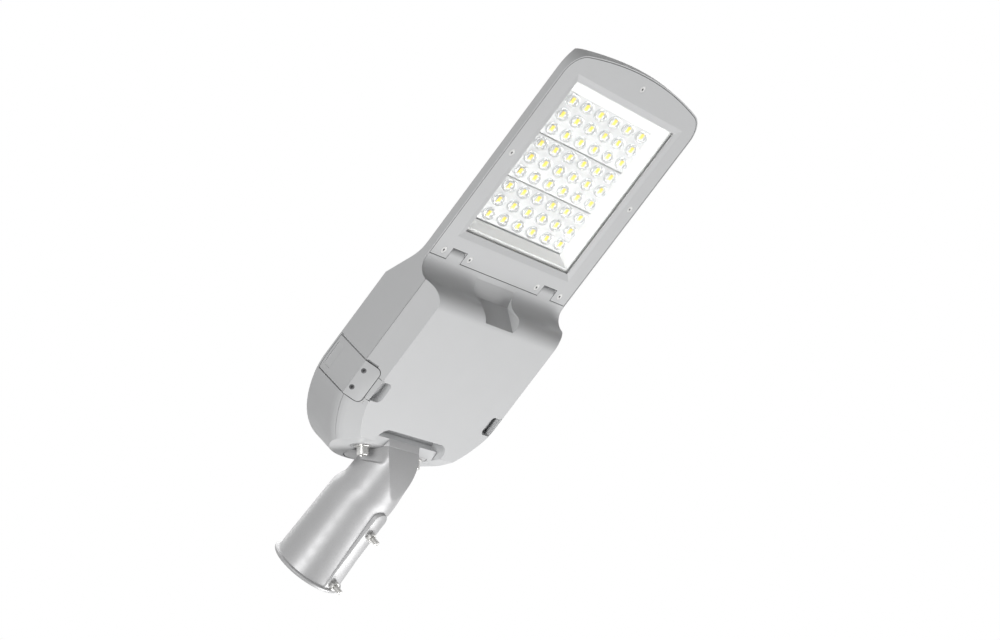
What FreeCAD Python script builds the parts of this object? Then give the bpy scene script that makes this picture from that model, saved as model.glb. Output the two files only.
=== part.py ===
import math
import os

import FreeCAD
import Part

# LED street light head for the top of a pole, seen by its own frame in millimetres.
# The origin is the middle of the pole socket's mouth, +X runs along the head to the
# far end of the lamp, and +Z is up, so the light leaves towards -Z.

V = FreeCAD.Vector

# Body outline in plan
HALF_WIDTH = 129.0
TIP_X = 629.0
FAR_RADIUS = 520.0
CORNER_RADIUS = 28.0
NOSE_X = 116.5
NOSE_FLATTENING = 7.5
SIDE_BLEND_RADIUS = 60.0

# Levels of the underside and the step between lamp and driver bay
FACE_Z = 24.6
DOOR_Z = -11.9
CHAMFER = 19.5
CREASE_FILLET = 22.0
STEP_X = 365.0
STEP_HOLLOW_RADIUS = 18.0
SEAM_X = 368.7

# Roof
HEAD_EDGE_Z = 33.0
HEAD_SHOULDER_INSET = 29.0
HEAD_SHOULDER_Z = 46.0
HEAD_CROWN_Z = 51.0
ROOF_EDGE_Z = 52.4
ROOF_CROWN_Z = 63.0
ROOF_SLOPE_DEG = 25.5
ROOF_SLOPE_FOOT_X = 363.8
ROOF_FOOT_RADIUS = 50.0
FIN_COUNT = 15
FIN_PITCH = 14.0
FIN_THICKNESS = 2.5
FIN_TOP_Z = 60.0
FIN_RISE = 0.55

# Walls, seams and clearances
WALL = 3.0
SEAM_GAP = 0.3
SLIDE_GAP = 0.6
PRESS_GAP = 0.02
PIN_GAP = 0.06
CUT_OVER = 1.0
RIM = 1.7

# Bay seal
CROSS_X = 330.0
SEAL_INSET = 8.0
SEAL_WIDTH = 4.0
SEAL_HEIGHT = 2.2
LEDGE_MARGIN = 1.5
LEDGE_HEIGHT = 3.0

# Pole end: inclined face, recess for the neck, flange
END_X = 158.8
END_TILT = 45.0
RECESS_HALF = 60.0
RECESS_X = 187.0
RECESS_CORNER = 14.0
FLANGE_THICKNESS = 8.0
END_WALL = 5.0
EAR_Y = 46.4
EAR_S = -7.4
EAR_RADIUS = 12.8
NECK_FLAT_S = 12.8
NECK_FLAT_HALF = 26.9
NECK_RADIUS = 33.0
NECK_CENTRE_S = -24.7
BOSS_X = 174.0
BOSS_Z = -4.0
BOLT_BOSS_RADIUS = 8.8

# Pole socket
SOCKET_RADIUS = 30.75
SOCKET_DEPTH = 88.0
MOUTH_RADIUS = 38.6
THROAT_X = 92.0
THROAT_RADIUS = 35.3
COLLAR_RADIUS = 41.6
COLLAR_LENGTH = 4.0
PAD_HALF = 9.2
PAD_Z = -38.7
PAD_END_X = 104.0
BEND_X = 137.4
BEND_Z = -39.4
BEND_TOP = 76.2
CABLE_RADIUS = 13.0

# Fasteners
FLANGE_BOLT_RADIUS = 4.0
FLANGE_BOLT_LENGTH = 24.0
FLANGE_BOLT_HEAD = 6.8
FLANGE_BOLT_FLATS = 13.0
WASHER_RADIUS = 12.0
WASHER_THICKNESS = 1.8
SET_SCREW_RADIUS = 3.0
SET_SCREW_NEAR_X = 10.0
SET_SCREW_FAR_X = 76.4
SET_SCREW_TIP_Z = -52.9
SET_SCREW_SKIN = 0.6
NUT_FLATS = 10.0
NUT_HEIGHT = 5.0
FRAME_SCREW_RADIUS = 2.0
FRAME_SCREW_HEAD_RADIUS = 4.0
FRAME_SCREW_HEAD = 2.2
FRAME_SCREW_LENGTH = 11.5
FRAME_SCREW_REAR_X = 376.8
FRAME_SCREW_OUTER_Y = 109.9
FRAME_SCREW_INNER_Y = 63.6
FRAME_SCREW_SIDE_Y = 115.8
FRAME_SCREW_FAR_X = 614.5

# Lamp window, glass and light engine
WINDOW_X = 496.3
WINDOW_LENGTH = 201.4
WINDOW_HALF = 105.3
WINDOW_CORNER = 6.0
MOUTH_BEVEL_ENDS = 7.55
MOUTH_BEVEL_SIDES = 8.1
SIGHT_DEPTH = 1.3
LIP = 1.2
FRAME_PLATE = 3.0
FRAME_RING_WIDTH = 4.5
FRAME_RING_Z = 31.0
GLASS_OVERLAP = 5.6
GLASS_THICKNESS = 3.0
GLASS_GAP = 0.2
FUNNEL_THICKNESS = 1.2
FUNNEL_TOP_INSET = 4.0
LENS_Z = 39.4
LENS_PLATE = 1.8
LENS_FIELD_HALF = 81.0
LENS_FIELD_LENGTH = 161.0
LENS_FIELD_SHIFT = 1.0
LENS_ROWS = 3
LENS_COLUMNS = 6
LENS_MODULES = 3
LENS_ROW_PITCH = 17.5
LENS_COLUMN_PITCH = 27.4
LENS_RADIUS = 7.6
LENS_TIP_RADIUS = 4.6
LENS_HEIGHT = 5.2
LENS_FLATS = 8
MODULE_GAP = 0.8
BOARD = 1.6
CHIP = 4.6
CHIP_HEIGHT = 0.8
PASTE_GAP = 0.1
SEAL_CORD = 2.5
SEAL_CORD_HEIGHT = 1.5

# Hinge of the driver cover
HINGE_X = 374.5
BARREL_RADIUS = 6.5
HINGE_PIN_RADIUS = 2.0
TAB_INNER_Y = 73.7
TAB_OUTER_Y = 98.1
HINGE_PIN_REACH = 5.0
SWING_GAP = 0.3

# Hollow in the middle of the step
HOLLOW_HALF = 36.5
HOLLOW_END_HALF = 25.0
HOLLOW_BEND_X = 345.0
HOLLOW_BEND_Z = 19.0
HOLLOW_END_X = 332.4

# Side latches
LATCH_X = 224.0
LATCH_WIDTH = 40.6
LATCH_FOOT_WIDTH = 24.6
LATCH_TOP_Z = 50.0
LATCH_LUG_RADIUS = 8.7
LATCH_THICKNESS = 3.5
LATCH_REAR_GAP = 1.4
LATCH_FRONT_GAP = 2.5
LATCH_BACK_GAP = 0.4
LATCH_AXIS_Y = 110.6
LATCH_AXIS_Z = -7.2
LATCH_BARREL_RADIUS = 2.5
LATCH_PIN_RADIUS = 1.2
LATCH_PIN_LENGTH = 36.0
GRIP_WIDTH = 27.0
GRIP_LOW_Z = 38.0
GRIP_HEIGHT = 9.5
GRIP_DEPTH = 1.2
LATCH_SCREW_SPACING = 20.6
LATCH_SCREW_Z = 3.9
LATCH_SCREW_RADIUS = 2.3
LATCH_SCREW_LENGTH = 3.2
NOTCH_WIDTH = 23.0
NOTCH_INNER_Y = 91.8
NOTCH_DEPTH = 8.0
NOTCH_CORNER = 6.0

# Driver bay equipment
TRAY_Z = 40.0
TRAY_THICKNESS = 2.0
TRAY_X = 188.0
TRAY_END_X = 312.0
TRAY_HALF = 96.0
TRAY_POST_RADIUS = 5.0
TRAY_POST_INSET = 8.0
DRIVER_LENGTH = 150.0
DRIVER_WIDTH = 68.0
DRIVER_HEIGHT = 32.0
DRIVER_X = 236.0
DRIVER_Y = -78.0
TERMINAL_LENGTH = 46.0
TERMINAL_DEPTH = 17.0
TERMINAL_HEIGHT = 18.0
TERMINAL_X = 196.0
TERMINAL_Y = 22.0
TERMINAL_POLES = 3
SURGE_LENGTH = 48.0
SURGE_WIDTH = 32.0
SURGE_HEIGHT = 24.0
SURGE_X = 194.0
SURGE_Y = -52.0
SCREW_RADIUS = 2.0
SCREW_HEAD_RADIUS = 3.6
SCREW_HEAD = 2.4
SCREW_LENGTH = 7.0
GLAND_RADIUS = 12.5
GLAND_FLANGE = 16.0
GLAND_LENGTH = 11.0
GLAND_BORE = 5.0
GLAND_S = -25.0
DUCT_RADIUS = 8.0
DUCT_BORE = 4.5
DUCT_Z = 38.0

# Values worked out from the ones above
NOSE_RADIUS = HALF_WIDTH + NOSE_FLATTENING
SIGHT_LENGTH = WINDOW_LENGTH - 2 * MOUTH_BEVEL_ENDS
SIGHT_HALF = WINDOW_HALF - MOUTH_BEVEL_SIDES
PARTING_Z = DOOR_Z + CHAMFER
DOOR_TOP_Z = PARTING_Z - SEAM_GAP / 2
HOUSING_RIM_Z = PARTING_Z + SEAM_GAP / 2
SEAL_TOP_Z = DOOR_TOP_Z + SEAL_HEIGHT
STEP_BULGE_RADIUS = FACE_Z - STEP_HOLLOW_RADIUS - DOOR_Z
STEP_CENTRE_Z = FACE_Z - STEP_HOLLOW_RADIUS
BULGE_X = STEP_X - STEP_HOLLOW_RADIUS - STEP_BULGE_RADIUS
HINGE_Z = FACE_Z + BARREL_RADIUS
FRAME_X = SEAM_X + SEAM_GAP
DOOR_END_X = SEAM_X - SEAM_GAP
FRAME_HALF = HALF_WIDTH - RIM - SEAM_GAP
FRAME_BACK_Z = FACE_Z + FRAME_PLATE
SWING_RADIUS = math.hypot(HINGE_X - FRAME_X, BARREL_RADIUS) + SWING_GAP
GLASS_Z = FACE_Z + SIGHT_DEPTH + LIP + GLASS_GAP
FUNNEL_Z = GLASS_Z + GLASS_THICKNESS + GLASS_GAP
BOARD_Z = LENS_Z + LENS_PLATE + CHIP_HEIGHT + PASTE_GAP
DECK_Z = BOARD_Z + BOARD + PASTE_GAP
HEAD_SLOPE = (HEAD_SHOULDER_Z - HEAD_EDGE_Z) / HEAD_SHOULDER_INSET
FLAT_EDGE_Y = HALF_WIDTH - CHAMFER
HEAD_CAVITY_HALF = LENS_FIELD_HALF + WALL
HEAD_CAVITY_LENGTH = LENS_FIELD_LENGTH + 2 * WALL
SEAL_WALL_X = CROSS_X - SEAL_INSET - SEAL_WIDTH
FAR = 900.0
BEYOND = 90.0


def line(start, end):
    return Part.LineSegment(start, end).toShape()


def arc(start, middle, end):
    return Part.Arc(start, middle, end).toShape()


def plan_arc(centre_x, centre_y, radius, from_angle, to_angle):
    """Arc in plan between two angles in radians."""
    points = []
    for angle in (from_angle, (from_angle + to_angle) / 2, to_angle):
        points.append(V(centre_x + radius * math.cos(angle), centre_y + radius * math.sin(angle), 0))
    return arc(*points)


def extrude(edges, direction):
    return Part.Face(Part.Wire(edges)).extrude(direction)


def polygon_prism(points, direction):
    return Part.Face(Part.makePolygon(points + points[:1])).extrude(direction)


def box(x0, x1, y0, y1, z0, z1):
    return Part.makeBox(x1 - x0, y1 - y0, z1 - z0, V(x0, y0, z0))


def both_sides(shape):
    """The shape and its mirror image across the plane y = 0."""
    return shape.fuse(shape.mirror(V(0, 0, 0), V(0, 1, 0)))


def rounded_block(x0, x1, y0, y1, z0, z1, radius):
    """Block with its four upright edges rounded."""
    block = box(x0, x1, y0, y1, z0, z1)
    upright = [e for e in block.Edges if abs(e.Vertexes[0].Z - e.Vertexes[1].Z) > (z1 - z0) / 2]
    return block.makeFillet(radius, upright)


def hexagon(flats, height, base):
    """Hexagonal prism along Z with its centre at base."""
    corner = flats / math.sqrt(3)
    points = []
    for step in range(6):
        angle = math.radians(60 * step + 30)
        points.append(base + V(corner * math.cos(angle), corner * math.sin(angle), 0))
    return polygon_prism(points, V(0, 0, height))


def tilted(shape):
    """Moves a shape drawn on the pole end face (s, y, depth) into the lamp's frame."""
    moved = shape.copy()
    moved.Placement = FreeCAD.Placement(V(END_X, 0, 0), FreeCAD.Rotation(V(0, 1, 0), END_TILT)).multiply(
        moved.Placement)
    return moved


def save(name, shape):
    solids = shape.Solids
    result = solids[0] if len(solids) == 1 else Part.makeCompound(solids)
    result.exportStep("parts/" + name + ".step")
    print(name, len(solids), round(shape.Volume / 1000, 1), result.isValid())


# Body form

def plan_prism(inset, z0, z1):
    """The plan of the body, drawn in by inset, as a prism."""
    half = HALF_WIDTH - inset
    nose_x = NOSE_X + NOSE_RADIUS
    side_y = HALF_WIDTH - SIDE_BLEND_RADIUS
    side_x = nose_x - math.sqrt((NOSE_RADIUS - SIDE_BLEND_RADIUS) ** 2 - side_y ** 2)
    nose_angle = math.atan2(side_y, side_x - nose_x)
    far_x = TIP_X - FAR_RADIUS
    corner_y = HALF_WIDTH - CORNER_RADIUS
    corner_x = far_x + math.sqrt((FAR_RADIUS - CORNER_RADIUS) ** 2 - corner_y ** 2)
    far_angle = math.atan2(corner_y, corner_x - far_x)
    right = math.pi / 2
    turn = 2 * math.pi
    edges = [
        plan_arc(far_x, 0, FAR_RADIUS - inset, -far_angle, far_angle),
        plan_arc(corner_x, corner_y, CORNER_RADIUS - inset, far_angle, right),
        line(V(corner_x, half, 0), V(side_x, half, 0)),
        plan_arc(side_x, side_y, SIDE_BLEND_RADIUS - inset, right, nose_angle),
        plan_arc(nose_x, 0, NOSE_RADIUS - inset, nose_angle, turn - nose_angle),
        plan_arc(side_x, -side_y, SIDE_BLEND_RADIUS - inset, turn - nose_angle, 3 * right),
        line(V(side_x, -half, 0), V(corner_x, -half, 0)),
        plan_arc(corner_x, -corner_y, CORNER_RADIUS - inset, 3 * right, turn - far_angle),
    ]
    prism = extrude(edges, V(0, 0, z1 - z0))
    prism.translate(V(0, 0, z0))
    return prism


def chamfered_prism(inset):
    """Body plan with its lower edge chamfered, every face moved in by inset."""
    floor_z = DOOR_Z + inset
    prism = plan_prism(inset, floor_z, ROOF_CROWN_Z + WALL)
    low = [e for e in prism.Edges if e.BoundBox.ZMax < floor_z + SEAM_GAP]
    return prism.makeChamfer(CHAMFER - inset * (2 - math.sqrt(2)), low)


def soft_nose(form):
    """Rounds the crease round the pole end, as far as the latches."""
    stop_x = LATCH_X - LATCH_WIDTH / 2 - LATCH_REAR_GAP
    nose = form.common(box(0, stop_x, -FAR, FAR, -FAR, FAR))
    crease = []
    for edge in nose.Edges:
        bounds = edge.BoundBox
        level = abs(bounds.ZMin - PARTING_Z) < SEAM_GAP and bounds.ZLength < SEAM_GAP
        if level and bounds.XMax <= stop_x + SEAM_GAP:
            crease.append(edge)
    rest = form.common(box(stop_x, FAR, -FAR, FAR, -FAR, FAR))
    return nose.makeFillet(CREASE_FILLET, crease).fuse(rest)


def step_region(rise, end_x):
    """Space under the stepped underside, with its upper face raised by rise."""
    high = FACE_Z + rise
    hollow = STEP_HOLLOW_RADIUS + rise
    bulge = STEP_BULGE_RADIUS - rise
    diagonal = math.sqrt(0.5)
    y = -FAR
    neck_x = STEP_X - hollow
    start_x = BULGE_X - FAR / 2
    edges = [
        line(V(end_x, y, -FAR), V(end_x, y, high)),
        line(V(end_x, y, high), V(STEP_X, y, high)),
        arc(V(STEP_X, y, high), V(STEP_X - hollow * diagonal, y, STEP_CENTRE_Z + hollow * diagonal),
            V(neck_x, y, STEP_CENTRE_Z)),
        arc(V(neck_x, y, STEP_CENTRE_Z), V(BULGE_X + bulge * diagonal, y, STEP_CENTRE_Z - bulge * diagonal),
            V(BULGE_X, y, DOOR_Z + rise)),
        line(V(BULGE_X, y, DOOR_Z + rise), V(start_x, y, DOOR_Z + rise)),
        line(V(start_x, y, DOOR_Z + rise), V(start_x, y, -FAR)),
        line(V(start_x, y, -FAR), V(end_x, y, -FAR)),
    ]
    return extrude(edges, V(0, 2 * FAR, 0))


def bay_roof(drop):
    """Everything under the driver bay's roof, the roof lowered by drop."""
    rise = ROOF_CROWN_Z - ROOF_EDGE_Z
    radius = (HALF_WIDTH ** 2 + rise ** 2) / (2 * rise)
    half = HALF_WIDTH + WALL
    edge_z = ROOF_CROWN_Z - radius + math.sqrt(radius ** 2 - half ** 2) - drop
    crown = V(0, 0, ROOF_CROWN_Z - drop)
    edges = [
        line(V(0, -half, -FAR), V(0, half, -FAR)),
        line(V(0, half, -FAR), V(0, half, edge_z)),
        arc(V(0, half, edge_z), crown, V(0, -half, edge_z)),
        line(V(0, -half, edge_z), V(0, -half, -FAR)),
    ]
    vault = extrude(edges, V(FAR, 0, 0))
    slope = math.radians(ROOF_SLOPE_DEG)
    tangent = ROOF_FOOT_RADIUS * math.tan(slope / 2)
    foot = V(ROOF_SLOPE_FOOT_X, -FAR, HEAD_EDGE_Z - drop)
    uphill = V(-math.cos(slope), 0, math.sin(slope))
    bend_end = foot + V(tangent, 0, 0)
    bend_start = foot + uphill * tangent
    centre = bend_end + V(0, 0, ROOF_FOOT_RADIUS)
    bend_middle = centre + V(-math.sin(slope / 2), 0, -math.cos(slope / 2)) * ROOF_FOOT_RADIUS
    top = foot + uphill * (ROOF_CROWN_Z / math.sin(slope))
    stop = foot + V(3 * tangent, 0, 0)
    edges = [
        line(V(0, -FAR, -FAR), V(0, -FAR, top.z)),
        line(V(0, -FAR, top.z), top),
        line(top, bend_start),
        arc(bend_start, bend_middle, bend_end),
        line(bend_end, stop),
        line(stop, V(stop.x, -FAR, -FAR)),
        line(V(stop.x, -FAR, -FAR), V(0, -FAR, -FAR)),
    ]
    return vault.common(extrude(edges, V(0, 2 * FAR, 0)))


def head_roof(drop):
    """Everything under the lamp's roof: sloping shoulders and a low crown."""
    half = HALF_WIDTH + WALL
    edge_z = HEAD_EDGE_Z - WALL * HEAD_SLOPE - drop
    shoulder_y = HALF_WIDTH - HEAD_SHOULDER_INSET
    shoulder_z = HEAD_SHOULDER_Z - drop
    start_x = ROOF_SLOPE_FOOT_X - (HEAD_CROWN_Z - HEAD_EDGE_Z) / math.tan(math.radians(ROOF_SLOPE_DEG)) - WALL
    edges = [
        line(V(start_x, -half, -FAR), V(start_x, half, -FAR)),
        line(V(start_x, half, -FAR), V(start_x, half, edge_z)),
        line(V(start_x, half, edge_z), V(start_x, shoulder_y, shoulder_z)),
        arc(V(start_x, shoulder_y, shoulder_z), V(start_x, 0, HEAD_CROWN_Z - drop),
            V(start_x, -shoulder_y, shoulder_z)),
        line(V(start_x, -shoulder_y, shoulder_z), V(start_x, -half, edge_z)),
        line(V(start_x, -half, edge_z), V(start_x, -half, -FAR)),
    ]
    vault = extrude(edges, V(FAR, 0, 0))
    top_x = TIP_X - (HEAD_CROWN_Z + WALL - HEAD_EDGE_Z) / HEAD_SLOPE
    end = [
        V(0, -FAR, -FAR),
        V(0, -FAR, HEAD_CROWN_Z + WALL - drop),
        V(top_x, -FAR, HEAD_CROWN_Z + WALL - drop),
        V(TIP_X + WALL, -FAR, HEAD_EDGE_Z - WALL * HEAD_SLOPE - drop),
        V(TIP_X + WALL, -FAR, -FAR),
    ]
    return vault.common(polygon_prism(end, V(0, 2 * FAR, 0)))


def end_region(depth):
    """Everything behind the inclined pole end face, moved in by depth."""
    return tilted(box(-FAR, FAR, -FAR, FAR, depth, FAR))


def body_form():
    """Outer form of the closed lamp, without the adapter."""
    form = soft_nose(chamfered_prism(0)).cut(step_region(0, FAR))
    return form.common(bay_roof(0).fuse(head_roof(0))).common(end_region(0))


def recess_prism(grow, z0, z1):
    """Recess in the pole end of the cover, grown by grow."""
    return rounded_block(0, RECESS_X + grow, -RECESS_HALF - grow, RECESS_HALF + grow, z0, z1, RECESS_CORNER)


def seal_prism(inset, z0, z1):
    """Sealed part of the driver bay in plan, drawn in by inset from every edge."""
    start_x = END_X - PARTING_Z + inset * math.sqrt(2)
    region = plan_prism(inset, z0, z1).common(box(start_x, CROSS_X - inset, -FAR, FAR, z0, z1))
    return region.cut(recess_prism(inset, z0 - CUT_OVER, z1 + CUT_OVER))


# Latches

def latch_zone(skin, rear_gap, front_gap, foot_gap, lug_radius, top_z):
    """Part of a skin that a latch takes up: full width down to its lugs, then a narrower foot."""
    half = LATCH_WIDTH / 2
    span = box(LATCH_X - half - rear_gap, LATCH_X + half + front_gap, FLAT_EDGE_Y, FAR, -FAR, top_z)
    wide = skin.common(span).cut(latch_axle(lug_radius, FAR))
    foot = LATCH_FOOT_WIDTH / 2 + foot_gap
    narrow = box(LATCH_X - foot, LATCH_X + foot, FLAT_EDGE_Y, FAR, -FAR, top_z - SLIDE_GAP)
    return wide.fuse(skin.common(narrow))


def latch_axle(radius, length):
    return Part.makeCylinder(radius, length, V(LATCH_X - length / 2, LATCH_AXIS_Y, LATCH_AXIS_Z), V(1, 0, 0))


def latch_pocket():
    """Space for the latch on the +Y side, cut from housing and cover."""
    skin = chamfered_prism(-WALL).cut(chamfered_prism(LATCH_THICKNESS + LATCH_BACK_GAP))
    pocket = latch_zone(skin, LATCH_REAR_GAP, LATCH_FRONT_GAP, SLIDE_GAP, LATCH_LUG_RADIUS,
                        LATCH_TOP_Z + SLIDE_GAP)
    sweep = math.hypot(LATCH_AXIS_Y - FLAT_EDGE_Y, LATCH_AXIS_Z - DOOR_Z) + SLIDE_GAP
    socket = latch_axle(sweep, LATCH_FOOT_WIDTH + 2 * SLIDE_GAP)
    notch = rounded_block(LATCH_X - NOTCH_WIDTH / 2, LATCH_X + NOTCH_WIDTH / 2, NOTCH_INNER_Y,
                          LATCH_AXIS_Y + NOTCH_CORNER, DOOR_Z - CUT_OVER, DOOR_Z + NOTCH_DEPTH, NOTCH_CORNER)
    return pocket.fuse(socket).fuse(notch)


def latch(form):
    """Latch on the +Y side: a bent plate with a hinge barrel in its foot."""
    skin = form.cut(chamfered_prism(LATCH_THICKNESS))
    plate = latch_zone(skin, 0, 0, 0, LATCH_LUG_RADIUS + SLIDE_GAP, LATCH_TOP_Z)
    barrel = latch_axle(LATCH_BARREL_RADIUS, LATCH_FOOT_WIDTH)
    grip = box(LATCH_X - GRIP_WIDTH / 2, LATCH_X + GRIP_WIDTH / 2, HALF_WIDTH - GRIP_DEPTH, FAR,
               GRIP_LOW_Z, GRIP_LOW_Z + GRIP_HEIGHT)
    result = plate.fuse(barrel).cut(latch_axle(LATCH_PIN_RADIUS + PIN_GAP, LATCH_FOOT_WIDTH)).cut(grip)
    for screw in latch_screw_seats():
        result = result.cut(screw)
    return result


def latch_screw_seats():
    """Space of the two socket screws near the crease of the +Y latch."""
    outward = V(0, 1, -1).normalize()
    y = HALF_WIDTH - (PARTING_Z - LATCH_SCREW_Z)
    seats = []
    for side in (-1, 1):
        head = V(LATCH_X + side * LATCH_SCREW_SPACING / 2, y, LATCH_SCREW_Z)
        seats.append(Part.makeCylinder(LATCH_SCREW_RADIUS, LATCH_SCREW_LENGTH + CUT_OVER,
                                       head - outward * LATCH_SCREW_LENGTH, outward))
    return seats


def latch_screws():
    """The two screws of the +Y latch, sunk in its plate."""
    outward = V(0, 1, -1).normalize()
    y = HALF_WIDTH - (PARTING_Z - LATCH_SCREW_Z)
    screws = []
    for side in (-1, 1):
        length = LATCH_SCREW_LENGTH - SEAM_GAP
        stud = Part.makeCylinder(LATCH_SCREW_RADIUS - PRESS_GAP, length, V(0, 0, 0))
        base = V(LATCH_X + side * LATCH_SCREW_SPACING / 2, y, LATCH_SCREW_Z) - outward * LATCH_SCREW_LENGTH
        stud.Placement = FreeCAD.Placement(base, FreeCAD.Rotation(V(0, 0, 1), outward))
        screws.append(stud)
    return Part.makeCompound(screws)


def latch_pin():
    return latch_axle(LATCH_PIN_RADIUS, LATCH_PIN_LENGTH)


# Housing and cover

def hinge_cylinder(radius, y0, y1):
    return Part.makeCylinder(radius, y1 - y0, V(HINGE_X, y0, HINGE_Z), V(0, 1, 0))


def frame_screw_points():
    points = [V(FRAME_SCREW_FAR_X, 0, FACE_Z)]
    for side in (-1, 1):
        points.append(V(FRAME_SCREW_REAR_X, side * FRAME_SCREW_OUTER_Y, FACE_Z))
        points.append(V(FRAME_SCREW_REAR_X, side * FRAME_SCREW_INNER_Y, FACE_Z))
        points.append(V(WINDOW_X, side * FRAME_SCREW_SIDE_Y, FACE_Z))
    return points


def window_block(length, half, z0, z1, corner):
    """Rounded rectangle centred on the lamp window."""
    return rounded_block(WINDOW_X - length / 2, WINDOW_X + length / 2, -half, half, z0, z1, corner)


def fins():
    """Cooling fins on the lamp's roof, each under the line of sight from below."""
    result = []
    length = LENS_FIELD_LENGTH + 4 * FIN_PITCH
    for index in range(FIN_COUNT):
        y = (index - (FIN_COUNT - 1) / 2) * FIN_PITCH
        height = min(FIN_TOP_Z, HEAD_EDGE_Z + FIN_RISE * (HALF_WIDTH - abs(y) - FIN_THICKNESS))
        base = HEAD_SHOULDER_Z - WALL
        run = (height - base) / FIN_RISE
        low_x = WINDOW_X - length / 2
        high_x = WINDOW_X + length / 2
        outline = [
            V(low_x, y - FIN_THICKNESS / 2, base),
            V(low_x + run, y - FIN_THICKNESS / 2, height),
            V(high_x - run, y - FIN_THICKNESS / 2, height),
            V(high_x, y - FIN_THICKNESS / 2, base),
        ]
        result.append(polygon_prism(outline, V(0, FIN_THICKNESS, 0)))
    return result


def flange_outline(grow, z0, z1):
    """Flange on the inclined face: the neck's section with an ear on each side."""
    ears = box(EAR_S - EAR_RADIUS - grow, EAR_S + EAR_RADIUS + grow, -EAR_Y, EAR_Y, z0, z1)
    for side in (-1, 1):
        ears = ears.fuse(Part.makeCylinder(EAR_RADIUS + grow, z1 - z0, V(EAR_S, side * EAR_Y, z0)))
    radius = NECK_RADIUS + grow
    flat_s = NECK_FLAT_S + grow
    flat_half = NECK_FLAT_HALF + grow
    edges = [
        line(V(flat_s, -flat_half, z0), V(flat_s, flat_half, z0)),
        line(V(flat_s, flat_half, z0), V(NECK_CENTRE_S, radius, z0)),
        arc(V(NECK_CENTRE_S, radius, z0), V(NECK_CENTRE_S - radius, 0, z0), V(NECK_CENTRE_S, -radius, z0)),
        line(V(NECK_CENTRE_S, -radius, z0), V(flat_s, -flat_half, z0)),
    ]
    return tilted(ears.fuse(extrude(edges, V(0, 0, z1 - z0))))


def tray_posts(bottom_z, top_z, radius):
    posts = []
    for x in (TRAY_X + TRAY_POST_INSET, TRAY_END_X - TRAY_POST_INSET):
        for y in (-TRAY_HALF + TRAY_POST_INSET, TRAY_HALF - TRAY_POST_INSET):
            posts.append(Part.makeCylinder(radius, top_z - bottom_z, V(x, y, bottom_z)))
    return posts


def bay_cavity():
    """Space inside the driver bay above the seam, up to the roof and the pole end wall."""
    space = plan_prism(WALL, HOUSING_RIM_Z - CUT_OVER, ROOF_CROWN_Z).common(bay_roof(WALL))
    space = space.common(box(0, SEAL_WALL_X + SEAL_WIDTH / 2 - WALL / 2, -FAR, FAR, -FAR, FAR))
    backing = tilted(box(-FAR, FAR, -RECESS_HALF - WALL, RECESS_HALF + WALL, 0, FLANGE_THICKNESS + END_WALL))
    return space.common(end_region(WALL)).cut(backing)


def step_cavity():
    """Open space over the stepped end of the cover."""
    space = plan_prism(WALL, DOOR_Z, ROOF_CROWN_Z).common(bay_roof(WALL).fuse(head_roof(WALL)))
    start_x = SEAL_WALL_X + SEAL_WIDTH / 2 + WALL / 2
    return space.common(box(start_x, DOOR_END_X - WALL, -FAR, FAR, -FAR, FAR))


def upper_casting(form):
    """Outer walls, hollowed for the driver bay and for the cover's stepped end."""
    upper = form.common(box(0, FAR, -FAR, FAR, HOUSING_RIM_Z, FAR))
    half = RECESS_HALF - SLIDE_GAP
    lower = form.common(box(0, BOSS_X, -half, half, BOSS_Z, HOUSING_RIM_Z))
    across = FRAME_HALF + SEAM_GAP
    cover_space = step_region(WALL + SEAM_GAP, SEAM_X).common(box(SEAL_WALL_X, FAR, -across, across, -FAR, FAR))
    return upper.fuse(lower).cut(cover_space).cut(bay_cavity()).cut(step_cavity())


def inner_walls(form):
    """Seal ledge, recess lid, latch pads, tray posts, wire duct and bolt bosses of the housing."""
    top = SEAL_TOP_Z + LEDGE_HEIGHT
    ledge = form.common(box(0, CROSS_X - SEAL_INSET + LEDGE_MARGIN, -FAR, FAR, SEAL_TOP_Z, top))
    walls = ledge.cut(seal_prism(SEAL_INSET + SEAL_WIDTH + LEDGE_MARGIN, 0, ROOF_CROWN_Z))
    walls = walls.fuse(recess_prism(SEAL_INSET - LEDGE_MARGIN, HOUSING_RIM_Z, top).common(form))
    half = LATCH_WIDTH / 2 + LATCH_FRONT_GAP + WALL
    inner_y = HALF_WIDTH - LATCH_THICKNESS - WALL - LATCH_BACK_GAP
    pad = box(LATCH_X - half, LATCH_X + half, inner_y, HALF_WIDTH, HOUSING_RIM_Z, ROOF_EDGE_Z)
    walls = walls.fuse(both_sides(pad).common(form))
    for post in tray_posts(TRAY_Z, ROOF_CROWN_Z - WALL / 2, TRAY_POST_RADIUS):
        walls = walls.fuse(post.common(bay_roof(WALL / 2)))
    duct = Part.makeCylinder(DUCT_RADIUS, STEP_X - SEAL_WALL_X, V(SEAL_WALL_X, 0, DUCT_Z), V(1, 0, 0))
    walls = walls.fuse(duct)
    for side in (-1, 1):
        length = FLANGE_BOLT_LENGTH - FLANGE_THICKNESS + WALL
        boss = Part.makeCylinder(BOLT_BOSS_RADIUS, length, V(EAR_S, side * EAR_Y, FLANGE_THICKNESS))
        walls = walls.fuse(tilted(boss).common(form))
    return walls


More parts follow.
